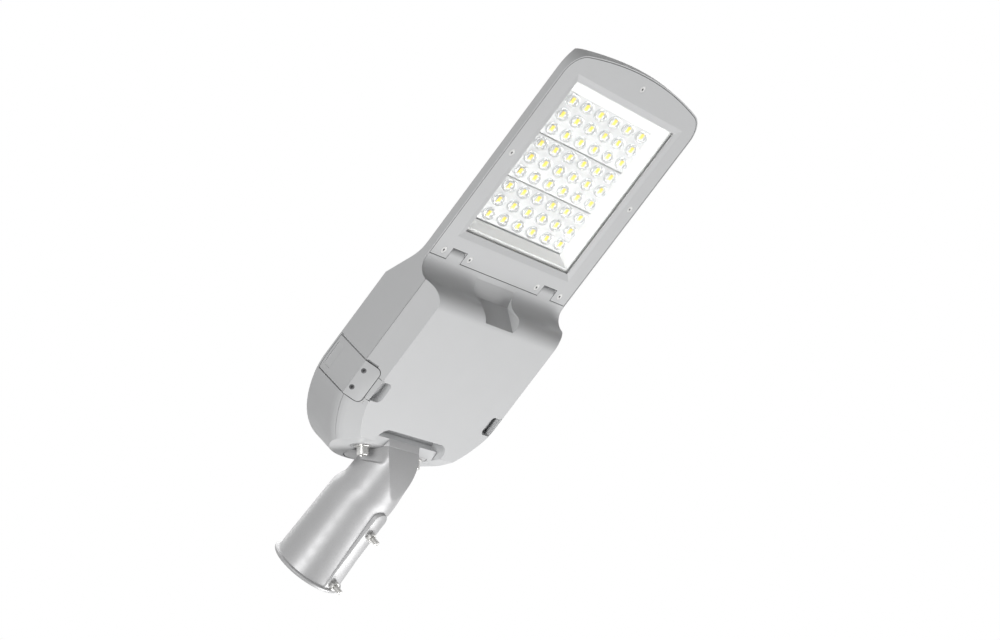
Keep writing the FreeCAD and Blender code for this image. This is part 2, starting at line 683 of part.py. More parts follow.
def lamp_space():
    """Room above the frame for glass, funnel and lenses, with the wire duct's bore."""
    rim = plan_prism(RIM, FACE_Z - CUT_OVER, FRAME_BACK_Z + SEAM_GAP)
    space = rim.common(box(SEAM_X - 2 * SEAM_GAP, FAR, -FAR, FAR, -FAR, FAR))
    grow = FRAME_RING_WIDTH + SLIDE_GAP
    glass_top = FUNNEL_Z + FUNNEL_THICKNESS + GLASS_GAP
    space = space.fuse(window_block(WINDOW_LENGTH + 2 * grow, WINDOW_HALF + grow, FACE_Z, glass_top,
                                    WINDOW_CORNER + SLIDE_GAP))
    space = space.fuse(window_block(HEAD_CAVITY_LENGTH, HEAD_CAVITY_HALF, FACE_Z, DECK_Z, WINDOW_CORNER))
    space = space.fuse(funnel_solid(FUNNEL_THICKNESS + GLASS_GAP)).fuse(frame_seal(SLIDE_GAP / 2))
    start_x = SEAL_WALL_X - WALL
    return space.fuse(Part.makeCylinder(DUCT_BORE, WINDOW_X - start_x, V(start_x, 0, DUCT_Z), V(1, 0, 0)))


def screw_and_pin_holes():
    """Holes in the housing for hinge barrels, hinge pins, frame screws and tray screws."""
    holes = []
    for side in (-1, 1):
        low, high = sorted((side * TAB_INNER_Y, side * TAB_OUTER_Y))
        holes.append(hinge_cylinder(BARREL_RADIUS + 2 * SLIDE_GAP, low - SLIDE_GAP, high + SLIDE_GAP))
        reach = HINGE_PIN_REACH
        holes.append(hinge_cylinder(HINGE_PIN_RADIUS + PRESS_GAP, low - reach, high + reach))
    for point in frame_screw_points():
        holes.append(Part.makeCylinder(FRAME_SCREW_RADIUS + PRESS_GAP, FRAME_SCREW_LENGTH + SLIDE_GAP, point))
    return holes + tray_posts(TRAY_Z - CUT_OVER, TRAY_Z + SCREW_LENGTH, SCREW_RADIUS + PRESS_GAP)


def pole_end_holes():
    """Seat of the flange, holes of its bolts and the cable inlet, all on the inclined face."""
    holes = [flange_outline(SLIDE_GAP, -CUT_OVER, FLANGE_THICKNESS)]
    for side in (-1, 1):
        seat = V(EAR_S, side * EAR_Y, 0)
        length = FLANGE_BOLT_LENGTH + SLIDE_GAP
        holes.append(tilted(Part.makeCylinder(FLANGE_BOLT_RADIUS + PRESS_GAP, length, seat)))
    depth = FLANGE_THICKNESS + END_WALL + 2 * WALL
    holes.append(tilted(Part.makeCylinder(GLAND_RADIUS + PRESS_GAP, depth, V(GLAND_S, 0, 0))))
    return holes


def housing(form):
    """Cast upper body: walls and roof, cooling fins, and what the other pieces sit in."""
    body = upper_casting(form).fuse(inner_walls(form))
    for fin in fins():
        body = body.fuse(fin)
    body = body.cut(lamp_space()).cut(both_sides(latch_pocket()))
    body = body.cut(seal_prism(SEAL_INSET - SLIDE_GAP, DOOR_Z, SEAL_TOP_Z))
    for hole in screw_and_pin_holes() + pole_end_holes():
        body = body.cut(hole)
    return body


def hollow_solid(grow):
    """Hollow in the middle of the step, grown by grow towards the inside of the lamp."""
    side = [
        V(STEP_X + BEYOND, -FAR, -FAR),
        V(STEP_X + BEYOND, -FAR, FACE_Z + grow),
        V(STEP_X - WALL, -FAR, FACE_Z + grow),
        V(HOLLOW_BEND_X - grow / 2, -FAR, HOLLOW_BEND_Z + grow),
        V(HOLLOW_END_X - grow, -FAR, DOOR_Z + grow),
        V(HOLLOW_END_X - grow, -FAR, -FAR),
    ]
    top = [
        V(STEP_X + BEYOND, -HOLLOW_HALF - grow, -FAR),
        V(STEP_X + BEYOND, HOLLOW_HALF + grow, -FAR),
        V(HOLLOW_BEND_X, HOLLOW_HALF - WALL / 2 + grow, -FAR),
        V(HOLLOW_END_X - grow, HOLLOW_END_HALF + grow, -FAR),
        V(HOLLOW_END_X - grow, -HOLLOW_END_HALF - grow, -FAR),
        V(HOLLOW_BEND_X, -HOLLOW_HALF + WALL / 2 - grow, -FAR),
    ]
    return polygon_prism(side, V(0, 2 * FAR, 0)).common(polygon_prism(top, V(0, 0, 2 * FAR)))


def door(form):
    low = form.common(box(0, DOOR_END_X, -FAR, FAR, -FAR, DOOR_TOP_Z))
    shell = low.cut(chamfered_prism(WALL).cut(step_region(WALL, FAR)).common(end_region(WALL)))
    lip_span = box(BULGE_X, FAR, -FRAME_HALF, FRAME_HALF, -FAR, FAR)
    lip = form.common(step_region(WALL, DOOR_END_X)).common(lip_span)
    body = shell.fuse(lip)
    ledge = seal_prism(WALL / 2, DOOR_TOP_Z - LEDGE_HEIGHT, DOOR_TOP_Z)
    ledge = ledge.cut(seal_prism(SEAL_INSET + SEAL_WIDTH + LEDGE_MARGIN, -FAR, FAR))
    cross = box(CROSS_X - 2 * WALL, CROSS_X - WALL, -FAR, FAR, DOOR_Z, DOOR_TOP_Z)
    wall = recess_prism(WALL, DOOR_Z, DOOR_TOP_Z)
    inside = form.common(box(0, FAR, -FAR, FAR, -FAR, DOOR_TOP_Z))
    body = body.fuse(ledge.common(inside)).fuse(cross.common(inside)).fuse(wall.common(inside))
    body = body.fuse(hollow_solid(WALL).common(form).common(box(0, DOOR_END_X, -FAR, FAR, -FAR, FAR)))
    pad_half = LATCH_WIDTH / 2 + LATCH_FRONT_GAP + WALL
    pad_top = DOOR_Z + NOTCH_DEPTH + WALL
    pad = box(LATCH_X - pad_half, LATCH_X + pad_half, NOTCH_INNER_Y - WALL, HALF_WIDTH, DOOR_Z, pad_top)
    rim = box(LATCH_X - pad_half, LATCH_X + pad_half, FLAT_EDGE_Y - WALL, HALF_WIDTH, DOOR_Z, DOOR_TOP_Z)
    body = body.fuse(both_sides(pad.fuse(rim)).common(inside))
    body = body.cut(recess_prism(0, -FAR, FAR)).cut(hollow_solid(0))
    body = body.cut(hinge_cylinder(SWING_RADIUS, -FAR, FAR))
    body = body.cut(both_sides(latch_pocket()))
    body = body.cut(both_sides(latch_axle(LATCH_PIN_RADIUS + PRESS_GAP, LATCH_PIN_LENGTH + SLIDE_GAP)))
    for side in (-1, 1):
        y0, y1 = sorted((side * TAB_INNER_Y, side * TAB_OUTER_Y))
        tab = box(STEP_X - WALL, HINGE_X, y0, y1, FACE_Z, FRAME_BACK_Z)
        body = body.fuse(tab).fuse(hinge_cylinder(BARREL_RADIUS, y0, y1)).cut(
            hinge_cylinder(HINGE_PIN_RADIUS + PIN_GAP, y0 - CUT_OVER, y1 + CUT_OVER))
    return body


def door_seal():
    ring = seal_prism(SEAL_INSET, DOOR_TOP_Z, SEAL_TOP_Z)
    return ring.cut(seal_prism(SEAL_INSET + SEAL_WIDTH, DOOR_TOP_Z - CUT_OVER, SEAL_TOP_Z + CUT_OVER))


def hinge_pins():
    pins = []
    for side in (-1, 1):
        y0, y1 = sorted((side * TAB_INNER_Y, side * TAB_OUTER_Y))
        reach = HINGE_PIN_REACH - SLIDE_GAP
        pins.append(hinge_cylinder(HINGE_PIN_RADIUS, y0 - reach, y1 + reach))
    return Part.makeCompound(pins)


# Lamp end

def window_wire(length, half, z):
    corners = [
        V(WINDOW_X - length / 2, -half, z),
        V(WINDOW_X + length / 2, -half, z),
        V(WINDOW_X + length / 2, half, z),
        V(WINDOW_X - length / 2, half, z),
    ]
    return Part.makePolygon(corners + corners[:1])


def led_frame():
    """Screwed frame that holds the glass, with a notch for each hinge tab."""
    plate = plan_prism(RIM + SEAM_GAP, FACE_Z, FRAME_BACK_Z).common(box(FRAME_X, FAR, -FAR, FAR, -FAR, FAR))
    ring = window_block(WINDOW_LENGTH + 2 * FRAME_RING_WIDTH, WINDOW_HALF + FRAME_RING_WIDTH, FACE_Z,
                        FRAME_RING_Z, WINDOW_CORNER)
    frame = plate.fuse(ring)
    mouth = Part.makeLoft([window_wire(WINDOW_LENGTH, WINDOW_HALF, FACE_Z),
                           window_wire(SIGHT_LENGTH, SIGHT_HALF, FACE_Z + SIGHT_DEPTH)], True, True)
    sight = box(WINDOW_X - SIGHT_LENGTH / 2, WINDOW_X + SIGHT_LENGTH / 2, -SIGHT_HALF, SIGHT_HALF, FACE_Z, FAR)
    room = GLASS_OVERLAP + GLASS_GAP
    seat = window_block(SIGHT_LENGTH + 2 * room, SIGHT_HALF + room, GLASS_Z - GLASS_GAP, FAR, WINDOW_CORNER / 2)
    frame = frame.cut(mouth).cut(sight).cut(seat)
    for side in (-1, 1):
        y0, y1 = sorted((side * TAB_INNER_Y, side * TAB_OUTER_Y))
        notch_x = HINGE_X + BARREL_RADIUS + 2 * SLIDE_GAP
        frame = frame.cut(box(0, notch_x, y0 - SLIDE_GAP, y1 + SLIDE_GAP, -FAR, FAR))
    for point in frame_screw_points():
        frame = frame.cut(Part.makeCylinder(FRAME_SCREW_RADIUS + PRESS_GAP, FAR, point))
        frame = frame.cut(Part.makeCylinder(FRAME_SCREW_HEAD_RADIUS, FRAME_SCREW_HEAD, point))
    return frame


def frame_screws():
    screws = []
    for point in frame_screw_points():
        head = Part.makeCylinder(FRAME_SCREW_HEAD_RADIUS - PRESS_GAP, FRAME_SCREW_HEAD, point)
        base = point + V(0, 0, FRAME_SCREW_HEAD)
        shank = Part.makeCylinder(FRAME_SCREW_RADIUS, FRAME_SCREW_LENGTH - FRAME_SCREW_HEAD, base)
        screws.append(head.fuse(shank))
    return Part.makeCompound(screws)


def frame_seal(grow):
    """Cord seal between frame and housing, round the window."""
    inner = FRAME_RING_WIDTH + 2 * SLIDE_GAP - grow
    outer = inner + SEAL_CORD + 2 * grow
    top = FRAME_BACK_Z + SEAL_CORD_HEIGHT + grow
    ring = window_block(WINDOW_LENGTH + 2 * outer, WINDOW_HALF + outer, FRAME_BACK_Z, top, WINDOW_CORNER)
    return ring.cut(window_block(WINDOW_LENGTH + 2 * inner, WINDOW_HALF + inner, FACE_Z, FAR, WINDOW_CORNER))


def pane(z0, z1):
    """Plate of the glass's outline between two levels."""
    return window_block(SIGHT_LENGTH + 2 * GLASS_OVERLAP, SIGHT_HALF + GLASS_OVERLAP, z0, z1, WINDOW_CORNER / 2)


def glass():
    return pane(GLASS_Z, GLASS_Z + GLASS_THICKNESS)


def glass_seal():
    """Bead between the frame's lip and the glass."""
    sight = box(WINDOW_X - SIGHT_LENGTH / 2, WINDOW_X + SIGHT_LENGTH / 2, -SIGHT_HALF, SIGHT_HALF, -FAR, FAR)
    return pane(GLASS_Z - GLASS_GAP, GLASS_Z).cut(sight)


def funnel_solid(grow):
    """Solid tapering from the glass to the lens field, grown outwards by grow."""
    top = FUNNEL_TOP_INSET
    return Part.makeLoft([
        window_wire(SIGHT_LENGTH - 2 * top + 2 * grow, SIGHT_HALF - top + grow, FUNNEL_Z),
        window_wire(LENS_FIELD_LENGTH + 2 * grow, LENS_FIELD_HALF + grow, LENS_Z),
    ], True, True)


def funnel():
    """Pale sloping frame between glass and lenses, with a flange under the glass."""
    flange = pane(FUNNEL_Z, FUNNEL_Z + FUNNEL_THICKNESS)
    return flange.fuse(funnel_solid(FUNNEL_THICKNESS)).cut(funnel_solid(0))


def module_centre(index):
    pitch = LENS_FIELD_LENGTH / LENS_MODULES
    return WINDOW_X + LENS_FIELD_SHIFT + (index - (LENS_MODULES - 1) / 2) * pitch


def lens_points(index):
    points = []
    for row in range(LENS_ROWS):
        for column in range(LENS_COLUMNS):
            x = module_centre(index) + (row - (LENS_ROWS - 1) / 2) * LENS_ROW_PITCH
            y = (column - (LENS_COLUMNS - 1) / 2) * LENS_COLUMN_PITCH
            points.append(V(x, y, LENS_Z))
    return points


def module_block(index, z0, z1):
    half = LENS_FIELD_LENGTH / LENS_MODULES / 2 - MODULE_GAP / 2
    wide = LENS_FIELD_HALF + FUNNEL_THICKNESS
    x = module_centre(index)
    return box(x - half, x + half, -wide, wide, z0, z1)


def lens(point):
    """One lens: a tapered stud with a flat for every eighth of a turn."""
    rings = []
    for radius, drop in ((LENS_RADIUS, 0), (LENS_TIP_RADIUS, LENS_HEIGHT)):
        ring = []
        for step in range(LENS_FLATS + 1):
            angle = 2 * math.pi * (step % LENS_FLATS + 0.5) / LENS_FLATS
            ring.append(point + V(radius * math.cos(angle), radius * math.sin(angle), -drop))
        rings.append(ring)
    wide, narrow = rings
    faces = [Part.Face(Part.makePolygon(wide)), Part.Face(Part.makePolygon(narrow))]
    for step in range(LENS_FLATS):
        corners = [wide[step], wide[step + 1], narrow[step + 1], narrow[step], wide[step]]
        faces.append(Part.Face(Part.makePolygon(corners)))
    return Part.Solid(Part.Shell(faces))


def lens_module(index):
    """Clear plate with a tapered lens at each place."""
    plate = module_block(index, LENS_Z, LENS_Z + LENS_PLATE)
    return plate.multiFuse([lens(point) for point in lens_points(index)])


def led_board(index):
    """Circuit board that stands on the lens plate by a rib along each end."""
    board = module_block(index, BOARD_Z, BOARD_Z + BOARD)
    ribs = module_block(index, LENS_Z + LENS_PLATE, BOARD_Z)
    inner = box(0, FAR, -LENS_FIELD_HALF, LENS_FIELD_HALF, -FAR, FAR)
    return board.fuse(ribs.cut(inner))


def led_chips():
    chips = []
    for index in range(LENS_MODULES):
        for point in lens_points(index):
            corner = V(point.x - CHIP / 2, point.y - CHIP / 2, BOARD_Z - CHIP_HEIGHT)
            chips.append(Part.makeBox(CHIP, CHIP, CHIP_HEIGHT, corner))
    return Part.makeCompound(chips)


# Adapter

def section_wire(points):
    """Closed section from its flat, two flanks and a round back."""
    return Part.Wire([
        line(points[0], points[1]),
        arc(points[1], points[2], points[3]),
        arc(points[3], points[4], points[5]),
        arc(points[5], points[6], points[0]),
    ])


def throat_wire(x, radius):
    """Round section of the tube with its lower edge cut to the pad's width."""
    low = -math.sqrt(radius ** 2 - PAD_HALF ** 2)
    diagonal = radius * math.sqrt(0.5)
    return section_wire([
        V(x, -PAD_HALF, low), V(x, PAD_HALF, low), V(x, diagonal, -diagonal), V(x, radius, 0),
        V(x, 0, radius), V(x, -radius, 0), V(x, -diagonal, -diagonal),
    ])


def neck_wire(flat, up, centre_distance):
    """Section of the neck: a flat of full width, flaring flanks and a round back."""
    across = V(0, 1, 0)
    centre = flat + up * centre_distance
    flank = flat + up * (centre_distance / 2)
    middle = (NECK_FLAT_HALF + NECK_RADIUS) / 2 + WALL / 2
    return section_wire([
        flat - across * NECK_FLAT_HALF, flat + across * NECK_FLAT_HALF, flank + across * middle,
        centre + across * NECK_RADIUS, centre + up * NECK_RADIUS, centre - across * NECK_RADIUS,
        flank - across * middle,
    ])


def adapter():
    """Cast adapter: tube for the pole, bent neck and inclined flange."""
    tube = Part.makeCone(MOUTH_RADIUS, THROAT_RADIUS, THROAT_X, V(0, 0, 0), V(1, 0, 0))
    collar = Part.makeCylinder(COLLAR_RADIUS, COLLAR_LENGTH, V(0, 0, 0), V(1, 0, 0))
    pad = rounded_block(0, PAD_END_X, -PAD_HALF, PAD_HALF, PAD_Z, 0, PAD_HALF - SLIDE_GAP)
    pad = pad.fuse(box(0, PAD_END_X / 2, -PAD_HALF, PAD_HALF, PAD_Z, 0))
    half_turn = math.radians(END_TILT / 2)
    bend_up = V(-math.sin(half_turn), 0, math.cos(half_turn))
    bend = neck_wire(V(BEND_X, 0, BEND_Z), bend_up, BEND_TOP - NECK_RADIUS)
    diagonal = math.sqrt(0.5)
    flat = V(END_X + NECK_FLAT_S * diagonal, 0, -NECK_FLAT_S * diagonal)
    face = neck_wire(flat, V(-diagonal, 0, diagonal), NECK_FLAT_S - NECK_CENTRE_S)
    lower = Part.makeLoft([throat_wire(THROAT_X, THROAT_RADIUS), bend], True, True)
    upper = Part.makeLoft([bend, face], True, True)
    body = tube.fuse(collar).fuse(pad).fuse(lower).fuse(upper).fuse(flange_outline(0, 0, FLANGE_THICKNESS))
    body = body.cut(Part.makeCylinder(SOCKET_RADIUS, SOCKET_DEPTH, V(0, 0, 0), V(1, 0, 0)))
    way_end = tilted(Part.makeCylinder(CABLE_RADIUS, BEYOND, V(GLAND_S, 0, FLANGE_THICKNESS - BEYOND)))
    way_length = BEND_X - SOCKET_DEPTH - CABLE_RADIUS / 2
    way_start = Part.makeCylinder(CABLE_RADIUS, way_length, V(SOCKET_DEPTH - CUT_OVER, 0, 0), V(1, 0, 0))
    body = body.cut(way_end.common(box(SOCKET_DEPTH, FAR, -FAR, FAR, -CABLE_RADIUS, FAR))).cut(way_start)
    for side in (-1, 1):
        seat = V(EAR_S, side * EAR_Y, 0)
        body = body.cut(tilted(Part.makeCylinder(FLANGE_BOLT_RADIUS + SLIDE_GAP, FLANGE_THICKNESS, seat)))
    for x in (SET_SCREW_NEAR_X, SET_SCREW_FAR_X):
        top = -SOCKET_RADIUS - SET_SCREW_SKIN
        body = body.cut(Part.makeCylinder(SET_SCREW_RADIUS + PRESS_GAP, FAR, V(x, 0, top), V(0, 0, -1)))
    return body


def flange_washers():
    washers = []
    for side in (-1, 1):
        base = V(EAR_S, side * EAR_Y, -WASHER_THICKNESS)
        ring = Part.makeCylinder(WASHER_RADIUS, WASHER_THICKNESS, base)
        hole = Part.makeCylinder(FLANGE_BOLT_RADIUS + SLIDE_GAP, WASHER_THICKNESS, base)
        washers.append(tilted(ring.cut(hole)))
    return Part.makeCompound(washers)


def flange_bolts():
    bolts = []
    for side in (-1, 1):
        seat = V(EAR_S, side * EAR_Y, -WASHER_THICKNESS)
        head = hexagon(FLANGE_BOLT_FLATS, FLANGE_BOLT_HEAD, seat - V(0, 0, FLANGE_BOLT_HEAD))
        shank = Part.makeCylinder(FLANGE_BOLT_RADIUS, FLANGE_BOLT_LENGTH + WASHER_THICKNESS, seat)
        bolts.append(tilted(head.fuse(shank)))
    return Part.makeCompound(bolts)


def set_screws():
    studs = []
    for x in (SET_SCREW_NEAR_X, SET_SCREW_FAR_X):
        top = -SOCKET_RADIUS - SET_SCREW_SKIN
        studs.append(Part.makeCylinder(SET_SCREW_RADIUS, top - SET_SCREW_TIP_Z, V(x, 0, SET_SCREW_TIP_Z)))
    return Part.makeCompound(studs)


def lock_nuts():
    nuts = []
    for x in (SET_SCREW_NEAR_X, SET_SCREW_FAR_X):
        nut = hexagon(NUT_FLATS, NUT_HEIGHT, V(x, 0, PAD_Z - NUT_HEIGHT))
        nuts.append(nut.cut(Part.makeCylinder(SET_SCREW_RADIUS + PRESS_GAP, FAR, V(x, 0, -FAR / 2))))
    return Part.makeCompound(nuts)


# Driver bay equipment

def gear_tray():
    """Plate under the roof that carries the electrical parts."""
    tray = rounded_block(TRAY_X, TRAY_END_X, -TRAY_HALF, TRAY_HALF, TRAY_Z - TRAY_THICKNESS, TRAY_Z,
                         TRAY_POST_INSET)
    for hole in tray_posts(TRAY_Z - 2 * TRAY_THICKNESS, TRAY_Z + CUT_OVER, SCREW_RADIUS + SLIDE_GAP):
        tray = tray.cut(hole)
    return tray.common(end_region(FLANGE_THICKNESS + END_WALL + FLANGE_BOLT_LENGTH / 2))


def hung_screw(x, y, z):
    """Hexagon head screw driven upwards, its head under z."""
    head = hexagon(2 * SCREW_HEAD_RADIUS, SCREW_HEAD, V(x, y, z - SCREW_HEAD))
    shank = Part.makeCylinder(SCREW_RADIUS, SCREW_LENGTH + TRAY_THICKNESS - SEAM_GAP, V(x, y, z))
    return head.fuse(shank)


def tray_screws():
    screws = []
    for x in (TRAY_X + TRAY_POST_INSET, TRAY_END_X - TRAY_POST_INSET):
        for y in (-TRAY_HALF + TRAY_POST_INSET, TRAY_HALF - TRAY_POST_INSET):
            screws.append(hung_screw(x, y, TRAY_Z - TRAY_THICKNESS))
    return Part.makeCompound(screws)


def driver():
    top = TRAY_Z - TRAY_THICKNESS
    body = box(DRIVER_X, DRIVER_X + DRIVER_WIDTH, DRIVER_Y, DRIVER_Y + DRIVER_LENGTH, top - DRIVER_HEIGHT, top)
    low_edges = [e for e in body.Edges if e.BoundBox.ZMax < top - WALL]
    long_edges = [e for e in low_edges if e.BoundBox.YLength > DRIVER_LENGTH / 2]
    return body.makeFillet(WALL, long_edges)


def terminal_block():
    top = TRAY_Z - TRAY_THICKNESS
    low = top - TERMINAL_HEIGHT
    end_y = TERMINAL_Y + TERMINAL_LENGTH
    body = box(TERMINAL_X, TERMINAL_X + TERMINAL_DEPTH, TERMINAL_Y, end_y, low, top)
    x = TERMINAL_X + TERMINAL_DEPTH / 2
    for pole in range(TERMINAL_POLES):
        y = TERMINAL_Y + TERMINAL_LENGTH * (pole + 0.5) / TERMINAL_POLES
        half = SCREW_RADIUS
        body = body.cut(box(x - half, x + half, y - half, y + half, low, low + WALL))
    return body


def surge_protector():
    top = TRAY_Z - TRAY_THICKNESS
    end_y = SURGE_Y + SURGE_LENGTH
    return rounded_block(SURGE_X, SURGE_X + SURGE_WIDTH, SURGE_Y, end_y, top - SURGE_HEIGHT, top, WALL)


def cable_gland():
    """Rubber inlet in the pole end wall, for the supply cable from the pole."""
    inner = FLANGE_THICKNESS + END_WALL
    body = Part.makeCylinder(GLAND_RADIUS, END_WALL, V(GLAND_S, 0, FLANGE_THICKNESS))
    body = body.fuse(Part.makeCylinder(GLAND_FLANGE, WALL, V(GLAND_S, 0, inner)))
    body = body.fuse(Part.makeCylinder(GLAND_BORE + WALL, GLAND_LENGTH, V(GLAND_S, 0, inner + WALL)))
    return tilted(body.cut(Part.makeCylinder(GLAND_BORE, FAR, V(GLAND_S, 0, 0))))


def main():
    os.makedirs("parts", exist_ok=True)
    form = body_form()
    save("housing", housing(form))
    save("driver_cover", door(form))
    save("cover_seal", door_seal())
    save("hinge_pins", hinge_pins())
    for name, shape in (("latch", latch(form)), ("latch_screws", latch_screws()), ("latch_pin", latch_pin())):
        save("left_" + name, shape)
        save("right_" + name, shape.mirror(V(0, 0, 0), V(0, 1, 0)))
    save("led_frame", led_frame())
    save("frame_screws", frame_screws())
    save("frame_seal", frame_seal(0))
    save("glass", glass())
    save("glass_seal", glass_seal())
    save("light_funnel", funnel())
    for index in range(LENS_MODULES):
        save("lens_module_" + str(index + 1), lens_module(index))
        save("led_board_" + str(index + 1), led_board(index))
    save("led_chips", led_chips())
    save("adapter", adapter())
    save("flange_washers", flange_washers())
    save("flange_bolts", flange_bolts())
    save("set_screws", set_screws())
    save("lock_nuts", lock_nuts())
    save("gear_tray", gear_tray())
    save("tray_screws", tray_screws())
    save("driver", driver())
    save("terminal_block", terminal_block())
    save("surge_protector", surge_protector())
    save("cable_gland", cable_gland())


if __name__ == "__main__":
    main()
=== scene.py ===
"""Looks of the LED street light head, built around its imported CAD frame."""

import logging
import math
from dataclasses import dataclass, field
from enum import Enum

import bmesh
import bpy
from mathutils import Matrix, Vector

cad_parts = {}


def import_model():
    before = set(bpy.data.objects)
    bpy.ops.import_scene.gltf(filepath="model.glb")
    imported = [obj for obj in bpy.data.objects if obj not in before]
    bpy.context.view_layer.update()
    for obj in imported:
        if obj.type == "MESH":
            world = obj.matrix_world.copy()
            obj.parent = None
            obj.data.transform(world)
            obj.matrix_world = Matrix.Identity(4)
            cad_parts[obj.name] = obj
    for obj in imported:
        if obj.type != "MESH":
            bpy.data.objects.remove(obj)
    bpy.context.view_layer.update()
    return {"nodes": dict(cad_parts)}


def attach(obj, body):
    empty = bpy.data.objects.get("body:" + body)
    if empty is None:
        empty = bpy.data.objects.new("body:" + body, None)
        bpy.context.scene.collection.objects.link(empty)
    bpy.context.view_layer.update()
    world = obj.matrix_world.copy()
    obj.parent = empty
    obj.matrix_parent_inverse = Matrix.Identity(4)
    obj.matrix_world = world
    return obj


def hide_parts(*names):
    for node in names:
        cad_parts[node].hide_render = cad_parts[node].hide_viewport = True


LOG = logging.getLogger("street_light")
MM = 0.001

Colour = tuple[float, float, float]


class Side(Enum):
    """Side of the lamp, seen along +X."""

    LEFT = 1
    RIGHT = -1


class NodeSheet:
    """Lays out the shader nodes of one material."""

    def __init__(self, name: str) -> None:
        """Starts a material with a plain surface.

        Args:
            name: Name of the material.
        """
        self.material = bpy.data.materials.new(name)
        self.material.use_nodes = True
        self.tree = self.material.node_tree
        self.surface = self.tree.nodes["Principled BSDF"]
        self.coordinates = self.add("ShaderNodeTexCoord")

    def add(self, kind: str) -> bpy.types.Node:
        """Adds a node of one kind and returns it."""
        return self.tree.nodes.new(kind)

    def link(self, start: bpy.types.NodeSocket, end: bpy.types.NodeSocket) -> None:
        """Joins two sockets."""
        self.tree.links.new(start, end)

    def place(self, stretch: Colour) -> bpy.types.NodeSocket:
        """Object coordinates, stretched on each axis.

        Args:
            stretch: Scale on X, Y and Z.

        Returns:
            The socket with the stretched coordinates.
        """
        mapping = self.add("ShaderNodeMapping")
        mapping.inputs["Scale"].default_value = stretch
        self.link(self.coordinates.outputs["Object"], mapping.inputs["Vector"])
        return mapping.outputs["Vector"]

    def noise(self, scale: float, detail: float, stretch: Colour = (1.0, 1.0, 1.0)) -> bpy.types.NodeSocket:
        """Noise on the object's own coordinates.

        Args:
            scale: Repeats in a metre.
            detail: Octaves of the noise.
            stretch: Scale on X, Y and Z before the noise.

        Returns:
            The socket with the noise's value.
        """
        texture = self.add("ShaderNodeTexNoise")
        texture.inputs["Scale"].default_value = scale
        texture.inputs["Detail"].default_value = detail
        self.link(self.place(stretch), texture.inputs["Vector"])
        return texture.outputs["Fac"]

    def spread(self, value: bpy.types.NodeSocket, low: float, high: float) -> bpy.types.NodeSocket:
        """Maps a noise value to a range.

        Args:
            value: Socket with the noise.
            low: Result for the noise's dark parts.
            high: Result for its light parts.

        Returns:
            The socket with the mapped value.
        """
        remap = self.add("ShaderNodeMapRange")
        remap.inputs["From Min"].default_value = 0.3
        remap.inputs["From Max"].default_value = 0.7
        remap.inputs["To Min"].default_value = low
        remap.inputs["To Max"].default_value = high
        self.link(value, remap.inputs["Value"])
        return remap.outputs["Result"]

    def blend(self, factor: bpy.types.NodeSocket, first: Colour, second: Colour) -> bpy.types.NodeSocket:
        """Mixes two colours by a factor and returns the socket."""
        mix = self.add("ShaderNodeMix")
        mix.data_type = "RGBA"
        mix.inputs["A"].default_value = (*first, 1.0)
        mix.inputs["B"].default_value = (*second, 1.0)
        self.link(factor, mix.inputs["Factor"])
        return mix.outputs["Result"]

    def relief(self, height: bpy.types.NodeSocket, depth: float, under: bpy.types.NodeSocket | None = None) -> bpy.types.NodeSocket:
        """Turns a height into a bump on the surface's normal.

        Args:
            height: Socket with the height.
            depth: Depth of the relief in metres.
            under: Normal that the relief lies on.

        Returns:
            The socket with the new normal.
        """
        bump = self.add("ShaderNodeBump")
        bump.inputs["Strength"].default_value = 1.0
        bump.inputs["Distance"].default_value = depth
        self.link(height, bump.inputs["Height"])
        if under is not None:
            self.link(under, bump.inputs["Normal"])
        self.link(bump.outputs["Normal"], self.surface.inputs["Normal"])
        return bump.outputs["Normal"]


def scaled(colour: Colour, factor: float) -> Colour:
    """Colour made lighter or darker by a factor."""
    return tuple(min(1.0, part * factor) for part in colour)


@dataclass(frozen=True)
class Paint:
    """Powder coat or paint on a casting, with orange peel and faint clouds."""

    name: str
    colour: Colour
    roughness: float
    metallic: float
    peel_depth: float
    peel_scale: float = 900.0
    speckle: float = 0.0
    edge_radius: float = 0.0006

    def make(self) -> bpy.types.Material:
        """Builds the paint's material."""
        sheet = NodeSheet(self.name)
        clouds = sheet.noise(14.0, 3.0)
        base = sheet.blend(clouds, scaled(self.colour, 0.975), scaled(self.colour, 1.02))
        if self.speckle:
            grains = sheet.add("ShaderNodeMix")
            grains.data_type = "RGBA"
            grains.inputs["B"].default_value = (*scaled(self.colour, 1.0 - self.speckle), 1.0)
            fine = sheet.spread(sheet.noise(1600.0, 2.0), 0.0, 1.0)
            sheet.link(fine, grains.inputs["Factor"])
            sheet.link(base, grains.inputs["A"])
            base = grains.outputs["Result"]
        sheet.link(base, sheet.surface.inputs["Base Color"])
        sheet.surface.inputs["Metallic"].default_value = self.metallic
        patches = sheet.spread(sheet.noise(60.0, 2.0), self.roughness - 0.04, self.roughness + 0.05)
        sheet.link(patches, sheet.surface.inputs["Roughness"])
        bevel = sheet.add("ShaderNodeBevel")
        bevel.samples = 4
        bevel.inputs["Radius"].default_value = self.edge_radius
        sheet.relief(sheet.noise(self.peel_scale, 2.0), self.peel_depth, bevel.outputs["Normal"])
        return sheet.material


